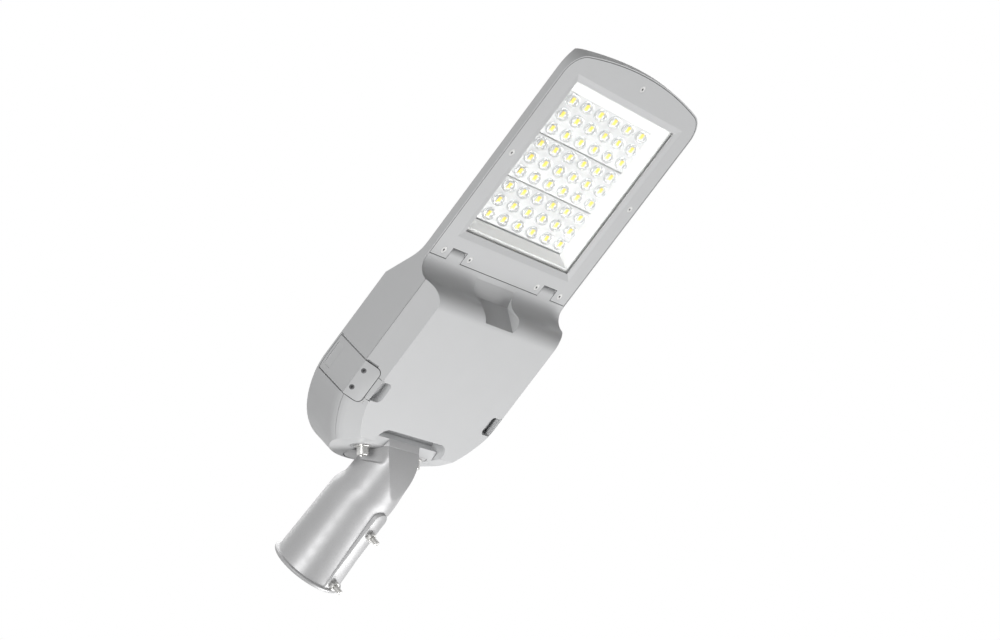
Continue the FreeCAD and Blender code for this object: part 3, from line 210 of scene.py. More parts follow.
@dataclass(frozen=True)
class Metal:
    """Bare or plated metal with fine turning marks."""

    name: str
    colour: Colour
    roughness: float
    grain: Colour = (1.0, 1.0, 1.0)

    def make(self) -> bpy.types.Material:
        """Builds the metal's material."""
        sheet = NodeSheet(self.name)
        stains = sheet.noise(90.0, 3.0)
        sheet.link(sheet.blend(stains, scaled(self.colour, 0.9), scaled(self.colour, 1.06)), sheet.surface.inputs["Base Color"])
        sheet.surface.inputs["Metallic"].default_value = 1.0
        marks = sheet.noise(700.0, 2.0, self.grain)
        sheet.link(sheet.spread(marks, self.roughness - 0.06, self.roughness + 0.08), sheet.surface.inputs["Roughness"])
        sheet.relief(marks, 0.00002)
        return sheet.material


@dataclass(frozen=True)
class Plastic:
    """Moulded plastic, rubber or coated board with a fine texture, and an optional painted glow in its own colour."""

    name: str
    colour: Colour
    roughness: float
    grain_scale: float = 1200.0
    grain_depth: float = 0.00002
    painted_glow: float = 0.0

    def make(self) -> bpy.types.Material:
        """Builds the plastic's material."""
        sheet = NodeSheet(self.name)
        shade = sheet.noise(35.0, 3.0)
        sheet.link(sheet.blend(shade, scaled(self.colour, 0.95), scaled(self.colour, 1.03)), sheet.surface.inputs["Base Color"])
        grain = sheet.noise(self.grain_scale, 2.0)
        sheet.link(sheet.spread(grain, self.roughness - 0.03, self.roughness + 0.05), sheet.surface.inputs["Roughness"])
        sheet.relief(grain, self.grain_depth)
        # Painted glow: the surface emits light in its own colour, though it is no lamp.
        if self.painted_glow:
            sheet.surface.inputs["Emission Color"].default_value = (*self.colour, 1.0)
            sheet.surface.inputs["Emission Strength"].default_value = self.painted_glow
        return sheet.material


@dataclass(frozen=True)
class Clear:
    """Clear glass or moulded lens plastic."""

    name: str
    colour: Colour
    index: float
    roughness: float
    ripple_depth: float

    def make(self) -> bpy.types.Material:
        """Builds the clear material, which lets light through to what lies behind it."""
        sheet = NodeSheet(self.name)
        sheet.surface.inputs["Base Color"].default_value = (*self.colour, 1.0)
        sheet.surface.inputs["Transmission Weight"].default_value = 1.0
        sheet.surface.inputs["IOR"].default_value = self.index
        sheet.surface.inputs["Roughness"].default_value = self.roughness
        sheet.relief(sheet.noise(45.0, 1.0), self.ripple_depth)
        shade = sheet.add("ShaderNodeBsdfTransparent")
        shade.inputs["Color"].default_value = (*scaled(self.colour, 0.97), 1.0)
        path = sheet.add("ShaderNodeLightPath")
        mix = sheet.add("ShaderNodeMixShader")
        sheet.link(path.outputs["Is Shadow Ray"], mix.inputs[0])
        sheet.link(sheet.surface.outputs["BSDF"], mix.inputs[1])
        sheet.link(shade.outputs["BSDF"], mix.inputs[2])
        sheet.link(mix.outputs["Shader"], sheet.tree.nodes["Material Output"].inputs["Surface"])
        return sheet.material


class Finishes:
    """Every finish of the lamp, made once."""

    def __init__(self) -> None:
        """Builds the materials by the record's slot names."""
        grey = (0.66, 0.665, 0.67)
        recipes = {
            "grey_paint": Paint("GreyPowderCoat", grey, 0.42, 0.0, 0.00003),
            "adapter_paint": Paint("CastSilverPaint", (0.57, 0.57, 0.575), 0.42, 0.25, 0.00005, 1300.0, 0.12),
            "clear_glass": Clear("WindowGlass", (0.985, 0.99, 0.985), 1.45, 0.0, 0.000002),
            "seal_rubber": Plastic("DarkSilicone", (0.03, 0.03, 0.032), 0.6),
            "white_plastic": Plastic("WhiteReflector", (0.74, 0.74, 0.735), 0.4, 400.0),
            "steel": Metal("StainlessSteel", (0.66, 0.655, 0.64), 0.26, (1.0, 1.0, 0.1)),
            "dark_screw": Metal("DarkScrewSteel", (0.16, 0.16, 0.165), 0.4),
            "clear_lens": Clear("LensPlastic", (0.97, 0.975, 0.98), 1.49, 0.03, 0.000004),
            "board": Plastic("WhiteBoard", (0.8, 0.8, 0.79), 0.5),
            # The yellow phosphor gets a faint painted glow (0.35) in its own colour.
            "phosphor": Plastic("YellowPhosphor", (0.9, 0.62, 0.015), 0.35, 2500.0, 0.00003, 0.35),
            "zinc_sheet": Metal("ZincSheet", (0.6, 0.61, 0.63), 0.34, (0.2, 1.0, 1.0)),
            "driver_case": Plastic("DriverCase", (0.07, 0.07, 0.075), 0.45),
            "black_plastic": Plastic("BlackPlastic", (0.025, 0.025, 0.026), 0.5),
        }
        self.made = {slot: recipe.make() for slot, recipe in recipes.items()}
        self.plate = Plastic("FrostedLensPlate", (0.62, 0.62, 0.625), 0.3, 300.0, 0.00004).make()
        # Near-black socket material: painted shade inside the screws' hexagon sockets.
        self.socket = Plastic("ScrewSocketShade", (0.02, 0.02, 0.02), 0.6).make()
        self.screw_head = Plastic("WhiteZincScrew", (0.88, 0.88, 0.87), 0.42).make()

    def slot(self, name: str) -> bpy.types.Material:
        """Material of one of the record's slots."""
        return self.made[name]


NODE_SLOTS = {
    "grey_paint": ("housing", "driver_cover", "led_frame", "left_latch", "right_latch"),
    "clear_glass": ("glass",),
    "seal_rubber": ("frame_seal", "glass_seal", "cover_seal", "cable_gland"),
    "white_plastic": ("light_funnel",),
    "steel": ("hinge_pins", "left_latch_pin", "right_latch_pin", "tray_screws"),
    "board": ("led_board_1", "led_board_2", "led_board_3"),
    "zinc_sheet": ("gear_tray",),
    "driver_case": ("driver",),
    "black_plastic": ("terminal_block", "surge_protector"),
}


class Piece:
    """A new mesh piece under construction, drawn in millimetres in the lamp's frame."""

    def __init__(self, name: str) -> None:
        """Starts an empty mesh.

        Args:
            name: Name of the finished object.
        """
        self.name = name
        self.mesh = bmesh.new()

    def spin(self, profile: list[tuple[float, float]], steps: int) -> list[bmesh.types.BMVert]:
        """Turns a profile round the Z axis into a closed body.

        Args:
            profile: Points (radius, z) from the axis back to the axis.
            steps: Number of steps in the turn.

        Returns:
            The new vertices.
        """
        before = set(self.mesh.verts)
        points = [self.mesh.verts.new((radius, 0.0, height)) for radius, height in profile]
        edges = [self.mesh.edges.new(pair) for pair in zip(points, points[1:])]
        bmesh.ops.spin(self.mesh, geom=points + edges, cent=(0, 0, 0), axis=(0, 0, 1), dvec=(0, 0, 0),
                       angle=2 * math.pi, steps=steps, use_merge=True, use_normal_flip=False, use_duplicate=False)
        made = [v for v in self.mesh.verts if v not in before]
        bmesh.ops.remove_doubles(self.mesh, verts=made, dist=1e-4)
        return [v for v in self.mesh.verts if v not in before]

    def move(self, verts: list[bmesh.types.BMVert], matrix: Matrix) -> None:
        """Places vertices by a matrix."""
        bmesh.ops.transform(self.mesh, matrix=matrix, verts=verts)

    def repeat(self, verts: list[bmesh.types.BMVert], places: list[Matrix]) -> None:
        """Copies a shape to each place and removes the first one.

        Args:
            verts: Vertices of the shape.
            places: One matrix for each copy.
        """
        own = set(verts)
        shape = [*verts, *(e for e in self.mesh.edges if e.verts[0] in own), *(f for f in self.mesh.faces if f.verts[0] in own)]
        for place in places:
            copy = bmesh.ops.duplicate(self.mesh, geom=shape)["geom"]
            self.move([part for part in copy if isinstance(part, bmesh.types.BMVert)], place)
        bmesh.ops.delete(self.mesh, geom=verts, context="VERTS")

    def paint(self, faces: list[bmesh.types.BMFace], index: int) -> None:
        """Gives faces the material of one slot."""
        for face in faces:
            face.material_index = index

    def finish(self, materials: list[bpy.types.Material], body: str, smooth_angle: float = 35.0) -> bpy.types.Object:
        """Turns the mesh into an object that rides on a body.

        Args:
            materials: Materials in the order of their indices.
            body: Body of the frame that carries the piece.
            smooth_angle: Edges flatter than this many degrees are shaded smooth.

        Returns:
            The finished object.
        """
        bmesh.ops.recalc_face_normals(self.mesh, faces=self.mesh.faces)
        bmesh.ops.scale(self.mesh, vec=(MM, MM, MM), verts=self.mesh.verts)
        for face in self.mesh.faces:
            face.smooth = True
        for edge in self.mesh.edges:
            if len(edge.link_faces) == 2 and edge.calc_face_angle() > math.radians(smooth_angle):
                edge.smooth = False
        data = bpy.data.meshes.new(self.name)
        self.mesh.to_mesh(data)
        self.mesh.free()
        for material in materials:
            data.materials.append(material)
        made = bpy.data.objects.new(self.name, data)
        bpy.context.scene.collection.objects.link(made)
        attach(made, body)
        LOG.info("%s: %d faces on %s", self.name, len(data.polygons), body)
        return made


@dataclass
class LensField:
    """Three clear lens plates with long dome lenses over yellow chips."""

    finishes: Finishes
    centre_x: float = 497.3
    face_z: float = 39.4
    back_z: float = 41.1
    half_width: float = 81.0
    module_length: float = 52.6
    module_pitch: float = 53.67
    row_pitch: float = 17.5
    column_pitch: float = 27.4
    rows: int = 3
    columns: int = 6
    dome_long: float = 10.4
    dome_short: float = 7.0
    dome_height: float = 6.6
    chip_half: float = 2.9
    chip_top: float = 38.9
    steps: int = 28
    names: tuple[str, ...] = ("lens_module_1", "lens_module_2", "lens_module_3")

    def places(self, index: int) -> list[Vector]:
        """Lens centres of one module.

        Args:
            index: Number of the module from the pole end.

        Returns:
            The centre of each lens at the plate's face.
        """
        start = self.centre_x + (index - 1) * self.module_pitch
        return [
            Vector((start + (row - 1) * self.row_pitch, (column - 2.5) * self.column_pitch, self.face_z))
            for row in range(self.rows)
            for column in range(self.columns)
        ]

    def plate(self, index: int) -> bpy.types.Object:
        """Frosted carrier plate of one module, with a thin line between lens pairs."""
        piece = Piece(f"lens_plate_{index + 1}")
        made = bmesh.ops.create_cube(piece.mesh, size=1.0)["verts"]
        start = self.centre_x + (index - 1) * self.module_pitch
        depth = self.back_z - self.face_z
        size = Matrix.Diagonal((self.module_length, 2 * self.half_width, depth, 1.0))
        piece.move(made, Matrix.Translation((start, 0, self.face_z + depth / 2)) @ size)
        edges = [e for e in piece.mesh.edges if abs(e.verts[0].co.z - e.verts[1].co.z) < 0.01]
        bmesh.ops.bevel(piece.mesh, geom=edges, offset=0.45, segments=2, profile=0.5, affect="EDGES", material=-1)
        for y in (-self.column_pitch, self.column_pitch):
            for shift in (-0.18, 0.18):
                geom = [*piece.mesh.verts, *piece.mesh.edges, *piece.mesh.faces]
                bmesh.ops.bisect_plane(piece.mesh, geom=geom, plane_co=(0, y + shift, 0), plane_no=(0, 1, 0))
        lines = [f for f in piece.mesh.faces if f.normal.z < -0.9 and min(abs(abs(f.calc_center_median().y) - self.column_pitch), 1.0) < 0.1]
        bmesh.ops.translate(piece.mesh, vec=(0, 0, 0.5), verts=list({v for f in lines for v in f.verts}))
        return piece.finish([self.finishes.plate], "base")

    def domes(self, index: int) -> bpy.types.Object:
        """Clear domes of one module, each hollow over its chip."""
        piece = Piece(f"lens_domes_{index + 1}")
        outer = [(0.0, -self.dome_height)]
        for step in range(1, 9):
            angle = math.radians(90 * step / 8)
            outer.append((self.dome_short * math.sin(angle), -self.dome_height * math.cos(angle)))
        rim = [(self.dome_short + 0.55, -0.05), (self.dome_short + 0.55, 0.25), (self.chip_half + 1.1, 0.25)]
        hollow = [
            ((self.chip_half + 1.1) * math.cos(math.radians(angle)), -2.1 * math.sin(math.radians(angle)))
            for angle in (25, 50, 70)
        ]
        verts = piece.spin([*outer, *rim, *hollow, (0.0, -2.1)], self.steps)
        stretch = Matrix.Diagonal((1.0, self.dome_long / self.dome_short, 1.0, 1.0))
        places = [Matrix.Translation(point - Vector((0, 0, 0.3))) @ stretch for point in self.places(index)]
        piece.repeat(verts, places)
        made = piece.finish([self.finishes.slot("clear_lens")], "base", 50.0)
        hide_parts(self.names[index])
        return made

    def chips(self) -> bpy.types.Object:
        """Chips of all modules: a white body with a domed yellow top."""
        piece = Piece("led_phosphor")
        half = self.chip_half
        made = bmesh.ops.create_cube(piece.mesh, size=1.0)["verts"]
        low = self.back_z + 0.9
        piece.move(made, Matrix.Translation((0, 0, (low + self.chip_top) / 2 - self.face_z)) @ Matrix.Diagonal((2 * half, 2 * half, low - self.chip_top, 1.0)))
        front = [f for f in piece.mesh.faces if f.normal.z < -0.9]
        bmesh.ops.inset_region(piece.mesh, faces=front, thickness=0.35, depth=0.0)
        bmesh.ops.inset_region(piece.mesh, faces=front, thickness=0.5, depth=0.35)
        upright = [e for e in piece.mesh.edges if abs(e.verts[0].co.z - e.verts[1].co.z) > 1.0]
        bmesh.ops.bevel(piece.mesh, geom=upright, offset=1.5, segments=4, profile=0.5, affect="EDGES", material=-1)
        yellow = [f for f in piece.mesh.faces if f.calc_center_median().z < self.chip_top - self.face_z - 0.02]
        piece.paint(yellow, 1)
        places = [Matrix.Translation(point) for index in range(len(self.names)) for point in self.places(index)]
        piece.repeat(list(piece.mesh.verts), places)
        done = piece.finish([self.finishes.slot("board"), self.finishes.slot("phosphor")], "base")
        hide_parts("led_chips")
        return done

    def build(self) -> None:
        """Builds plates, domes and chips."""
        for index in range(len(self.names)):
            self.plate(index)
            self.domes(index)
        self.chips()


@dataclass
class SocketScrew:
    """Countersunk or round screw with a hexagon socket."""

    radius: float
    depth: float
    socket: float
    socket_depth: float
    shank: float
    shank_length: float
    dish: float = 0.25
    steps: int = 24

    def shape(self, piece: Piece) -> list[bmesh.types.BMVert]:
        """Draws the screw with its head's face at z 0 and its shank along +Z.

        Args:
            piece: Piece that gets the screw.

        Returns:
            The screw's vertices.
        """
        before = set(piece.mesh.verts)
        apothem = self.socket * math.cos(math.pi / 6)
        piece.spin([
            (0.0, self.socket_depth * 1.25),
            (apothem * 0.55, self.socket_depth),
            (apothem, self.socket_depth),
            (apothem, self.dish * 0.4),
            (apothem + 0.2, 0.0),
            (self.radius - self.dish, 0.0),
            (self.radius, self.dish),
            (self.radius, self.depth),
            (self.shank, self.depth),
            (self.shank, self.shank_length),
            (0.0, self.shank_length),
        ], self.steps)
        made = [v for v in piece.mesh.verts if v not in before]
        for vert in made:
            radius = math.hypot(vert.co.x, vert.co.y)
            if apothem - 0.01 < radius < apothem + 0.01 and vert.co.z < self.socket_depth + 0.01:
                angle = math.atan2(vert.co.y, vert.co.x) % (math.pi / 3) - math.pi / 6
                vert.co.xy = vert.co.xy / math.cos(angle)
        # The socket's inside gets slot 1, the near-black material: painted shade in the hollow.
        inside = [f for f in piece.mesh.faces if f.verts[0] in set(made) and math.hypot(*f.calc_center_median().xy) < apothem + 0.05
                  and f.calc_center_median().z < self.socket_depth + 0.5]
        piece.paint(inside, 1)
        return made


@dataclass
class Fasteners:
    """Screws, bolts, nuts and washers that show on the outside."""

    finishes: Finishes
    face_z: float = 24.6
    frame_points: tuple[tuple[float, float], ...] = (
        (376.8, 109.9), (376.8, 63.6), (376.8, -63.6), (376.8, -109.9), (496.3, 115.8), (496.3, -115.8), (614.5, 0.0),
    )
    latch_x: float = 224.0
    latch_spacing: float = 20.6
    latch_y: float = 125.71
    latch_z: float = 3.49
    set_screw_x: tuple[float, ...] = (10.0, 76.4)
    ear_s: float = -7.4
    ear_y: float = 46.4
    end_x: float = 158.8

    def frame_screws(self) -> bpy.types.Object:
        """Seven bright screws of the lamp's frame."""
        piece = Piece("frame_screw_heads")
        screw = SocketScrew(3.95, 2.15, 1.45, 1.6, 1.98, 11.4)
        verts = screw.shape(piece)
        piece.repeat(verts, [Matrix.Translation((x, y, self.face_z + 0.02)) for x, y in self.frame_points])
        made = piece.finish([self.finishes.screw_head, self.finishes.socket], "base")
        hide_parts("frame_screws")
        return made

    def latch_screws(self, side: Side) -> bpy.types.Object:
        """Two dark screws of one latch.

        Args:
            side: Side of the lamp.

        Returns:
            The finished object.
        """
        word = side.name.lower()
        piece = Piece(f"{word}_latch_socket_screws")
        verts = SocketScrew(2.75, 1.2, 1.5, 0.1, 2.2, 2.8, 0.12).shape(piece)
        inward = Vector((0, -side.value, 1)).normalized()
        turn = Vector((0, 0, 1)).rotation_difference(inward).to_matrix().to_4x4()
        places = [
            Matrix.Translation((self.latch_x + shift * self.latch_spacing / 2, side.value * self.latch_y, self.latch_z)) @ turn
            for shift in (-1, 1)
        ]
        piece.repeat(verts, places)
        made = piece.finish([self.finishes.slot("dark_screw"), self.finishes.socket], f"latch_{word}")
        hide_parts(f"{word}_latch_screws")
        return made

    def tilt(self, side: int) -> Matrix:
        """Place of a flange bolt on the inclined end."""
        turn = Matrix.Rotation(math.radians(45), 4, "Y")
        return Matrix.Translation((self.end_x, 0, 0)) @ turn @ Matrix.Translation((self.ear_s, side * self.ear_y, 0))

    def hexagon(self, piece: Piece, flats: float, low: float, high: float, bore: float) -> list[bmesh.types.BMVert]:
        """Hexagon with chamfered corners, and a bore where bore isn't 0.

        Args:
            piece: Piece that gets the hexagon.
            flats: Width across the flats.
            low: Lower end on Z.
            high: Upper end on Z.
            bore: Radius of the bore.

        Returns:
            The hexagon's vertices.
        """
        before = set(piece.mesh.verts)
        apothem = flats / 2
        corner = apothem / math.cos(math.pi / 6)
        middle = [(apothem * 0.97, low), (corner, low + 0.5), (corner, high - 0.5), (apothem * 0.97, high)]
        profile = [(bore, low), *middle, (bore, high)]
        if bore:
            profile.append(profile[0])
        else:
            profile = [(0.0, low), *middle, (0.0, high)]
        piece.spin(profile, 36)
        made = [v for v in piece.mesh.verts if v not in before]
        for vert in made:
            radius = math.hypot(vert.co.x, vert.co.y)
            if radius > apothem:
                angle = math.atan2(vert.co.y, vert.co.x) % (math.pi / 3) - math.pi / 6
                limit = apothem / math.cos(angle)
                vert.co.xy = vert.co.xy * min(1.0, limit / radius)
        return made

    def flange_bolts(self) -> bpy.types.Object:
        """Two round-headed cap bolts of the adapter's flange."""
        piece = Piece("flange_bolt_heads")
        cap = [(0.0, -6.6), (2.6, -6.6), (3.1, -6.9), (3.1, -10.2), (3.5, -10.6), (5.7, -10.6), (6.1, -10.2), (6.1, -2.1), (5.8, -1.8)]
        piece.spin([*cap, (3.98, -1.8), (3.98, 23.9), (0.0, 23.9)], 32)
        piece.repeat(list(piece.mesh.verts), [self.tilt(-1), self.tilt(1)])
        made = piece.finish([self.finishes.slot("steel")], "base")
        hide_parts("flange_bolts")
        return made

    def flange_washers(self) -> bpy.types.Object:
        """Two plain washers with rounded edges."""
        piece = Piece("flange_washer_rings")
        ring = [(4.6, -1.6), (4.8, -1.8), (8.2, -1.8), (8.5, -1.5), (8.5, -0.3), (8.2, 0.0), (4.8, 0.0), (4.6, -0.2), (4.6, -1.6)]
        verts = piece.spin(ring, 36)
        piece.repeat(verts, [self.tilt(-1), self.tilt(1)])
        made = piece.finish([self.finishes.slot("steel")], "base")
        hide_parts("flange_washers")
        return made

    def set_screws(self) -> bpy.types.Object:
        """Two threaded set screws of the pole socket."""
        piece = Piece("threaded_set_screws")
        profile = [(0.0, -52.9), (1.9, -52.9), (2.5, -52.4)]
        z = -52.2
        while z < -38.0:
            profile += [(2.98, z), (2.98, z + 0.2), (2.55, z + 0.5), (2.55, z + 0.7)]
            z += 1.0
        profile += [(2.98, z), (2.98, -31.4), (0.0, -31.4)]
        verts = piece.spin(profile, 24)
        piece.repeat(verts, [Matrix.Translation((x, 0, 0)) for x in self.set_screw_x])
        made = piece.finish([self.finishes.slot("steel")], "base")
        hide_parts("set_screws")
        return made

    def lock_nuts(self) -> bpy.types.Object:
        """Nuts of the set screws, with chamfered corners."""
        piece = Piece("chamfered_lock_nuts")
        verts = self.hexagon(piece, 10.0, -43.7, -38.7, 3.1)
        piece.repeat(verts, [Matrix.Translation((x, 0, 0)) for x in self.set_screw_x])
        made = piece.finish([self.finishes.slot("steel")], "base")
        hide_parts("lock_nuts")
        return made

    def build(self) -> None:
        """Builds every fastener that shows."""
        self.frame_screws()
        for side in Side:
            self.latch_screws(side)
        self.flange_bolts()
        self.flange_washers()
        self.set_screws()
        self.lock_nuts()


@dataclass
class LatchShields:
    """Full-width face of each latch on the bevelled edge of the cover, over a thin dark line of painted shade."""

    finishes: Finishes
    centre_x: float = 224.0
    half_width: float = 20.3
    axis_y: float = 110.6
    axis_z: float = -7.2
    skin: float = 2.56
    top: float = 22.7
    bottom: float = 2.4
    corner: float = 6.0
    plate_depth: float = 0.42
    shade_line_depth: float = 0.14
    shade_line_width: float = 0.75

    def plate(self, piece: Piece, side: Side, grow: float, depth: float) -> None:
        """Draws one flat plate with rounded lower corners on the bevelled edge.

        Args:
            piece: Piece that gets the plate.
            side: Side of the lamp.
            grow: How far the outline reaches beyond the latch.
            depth: Thickness above the skin.
        """
        half = self.half_width + grow
        corner = self.corner + grow
        low = self.bottom - grow
        outline = [(-half, self.top), (half, self.top)]
        for centre, first in (((half - corner, low + corner), 0), ((corner - half, low + corner), 1)):
            for step in range(9):
                angle = -math.pi / 2 * (first + step / 8)
                outline.append((centre[0] + corner * math.cos(angle), centre[1] + corner * math.sin(angle)))
        slope = math.sqrt(0.5)
        along = Vector((0, side.value * slope, slope))
        outward = Vector((0, side.value * slope, -slope))
        base = Vector((self.centre_x, side.value * self.axis_y, self.axis_z)) + outward * self.skin
        points = [base + Vector((across, 0, 0)) + along * rise for across, rise in outline]
        before = set(piece.mesh.verts)
        face = piece.mesh.faces.new([piece.mesh.verts.new(point) for point in points])
        raised = bmesh.ops.extrude_face_region(piece.mesh, geom=[face])["geom"]
        top_verts = [v for v in raised if isinstance(v, bmesh.types.BMVert)]
        bmesh.ops.translate(piece.mesh, vec=outward * depth, verts=top_verts)
        tops = set(top_verts)
        rim = [e for e in piece.mesh.edges if e.verts[0] in tops and e.verts[1] in tops]
        bmesh.ops.bevel(piece.mesh, geom=rim, offset=depth * 0.45, segments=2, profile=0.5, affect="EDGES", material=-1)
        piece.paint([f for f in piece.mesh.faces if f.verts[0] not in before], 0)

    def build(self) -> None:
        """Builds the plate of both latches and the dark painted-shade line round it."""
        for side in Side:
            word = side.name.lower()
            face = Piece(f"{word}_latch_face")
            self.plate(face, side, 0.0, self.plate_depth)
            face.finish([self.finishes.slot("grey_paint")], f"latch_{word}")
            # Painted shade: a slightly larger dark plate under the face shows as a dark line round it, standing for the
            # shadow at its edge.
            shade_line = Piece(f"{word}_latch_seam")
            self.plate(shade_line, side, self.shade_line_width, self.shade_line_depth)
            shade_line.finish([self.finishes.slot("seal_rubber")], f"latch_{word}")


@dataclass
class FrameGapShade:
    """Thin dark strip of painted shade along the frame's edge, standing for the shadow in the gap between the lamp's
    frame and the housing's rim.
    """

    finishes: Finishes
    width: float = 0.55
    lift: float = 0.05

    def outline(self, node: bpy.types.Object) -> list[Vector]:
        """Outer edge of the frame's flat face, in millimetres.

        Args:
            node: The frame's CAD node.

        Returns:
            The edge's points in order.
        """
        mesh = bmesh.new()
        mesh.from_mesh(node.data)
        bmesh.ops.remove_doubles(mesh, verts=mesh.verts, dist=1e-6)
        mesh.normal_update()
        lowest = min(v.co.z for v in mesh.verts)
        flat = {f for f in mesh.faces if f.normal.z < -0.99 and abs(f.calc_center_median().z - lowest) < 1e-4}
        rim = [e for e in mesh.edges if sum(f in flat for f in e.link_faces) == 1]
        loops = []
        while rim:
            loop = [rim[0].verts[0], rim[0].verts[1]]
            rim.pop(0)
            found = True
            while found:
                found = False
                for edge in rim:
                    if loop[-1] in edge.verts:
                        loop.append(edge.other_vert(loop[-1]))
                        rim.remove(edge)
                        found = True
                        break
            loops.append([v.co.copy() / MM for v in loop[:-1]])
        mesh.free()
        return max(loops, key=lambda loop: max(p.y for p in loop) - min(p.y for p in loop))

    def build(self, node: bpy.types.Object) -> None:
        """Builds the dark painted-shade strip along the frame's edge.

        Args:
            node: The frame's CAD node.
        """
        points = self.outline(node)
        area = sum(a.x * b.y - b.x * a.y for a, b in zip(points, points[1:] + points[:1]))
        if area < 0:
            points.reverse()
        LOG.info("frame edge: %d points, x %.1f to %.1f, z %.2f", len(points), min(p.x for p in points),
                 max(p.x for p in points), points[0].z)
        # Painted shade: a thin dark strip in the seal's rubber stands for the shadow in the gap at the frame's edge.
        piece = Piece("frame_gap_shade_line")
        sections = []
        for index, point in enumerate(points):
            ahead = (points[(index + 1) % len(points)] - points[index - 1]).normalized()
            outward = Vector((ahead.y, -ahead.x, 0))
            level = point.z - self.lift
            sections.append([
                piece.mesh.verts.new(point + outward * reach + Vector((0, 0, level - point.z + drop)))
                for reach, drop in ((-0.12, 0.0), (self.width, 0.0), (self.width, 0.4), (-0.12, 0.4))
            ])
        for near, far in zip(sections, sections[1:] + sections[:1]):
            for index in range(4):
                after = (index + 1) % 4
                piece.mesh.faces.new((near[index], near[after], far[after], far[index]))
        piece.finish([self.finishes.slot("seal_rubber")], "base")


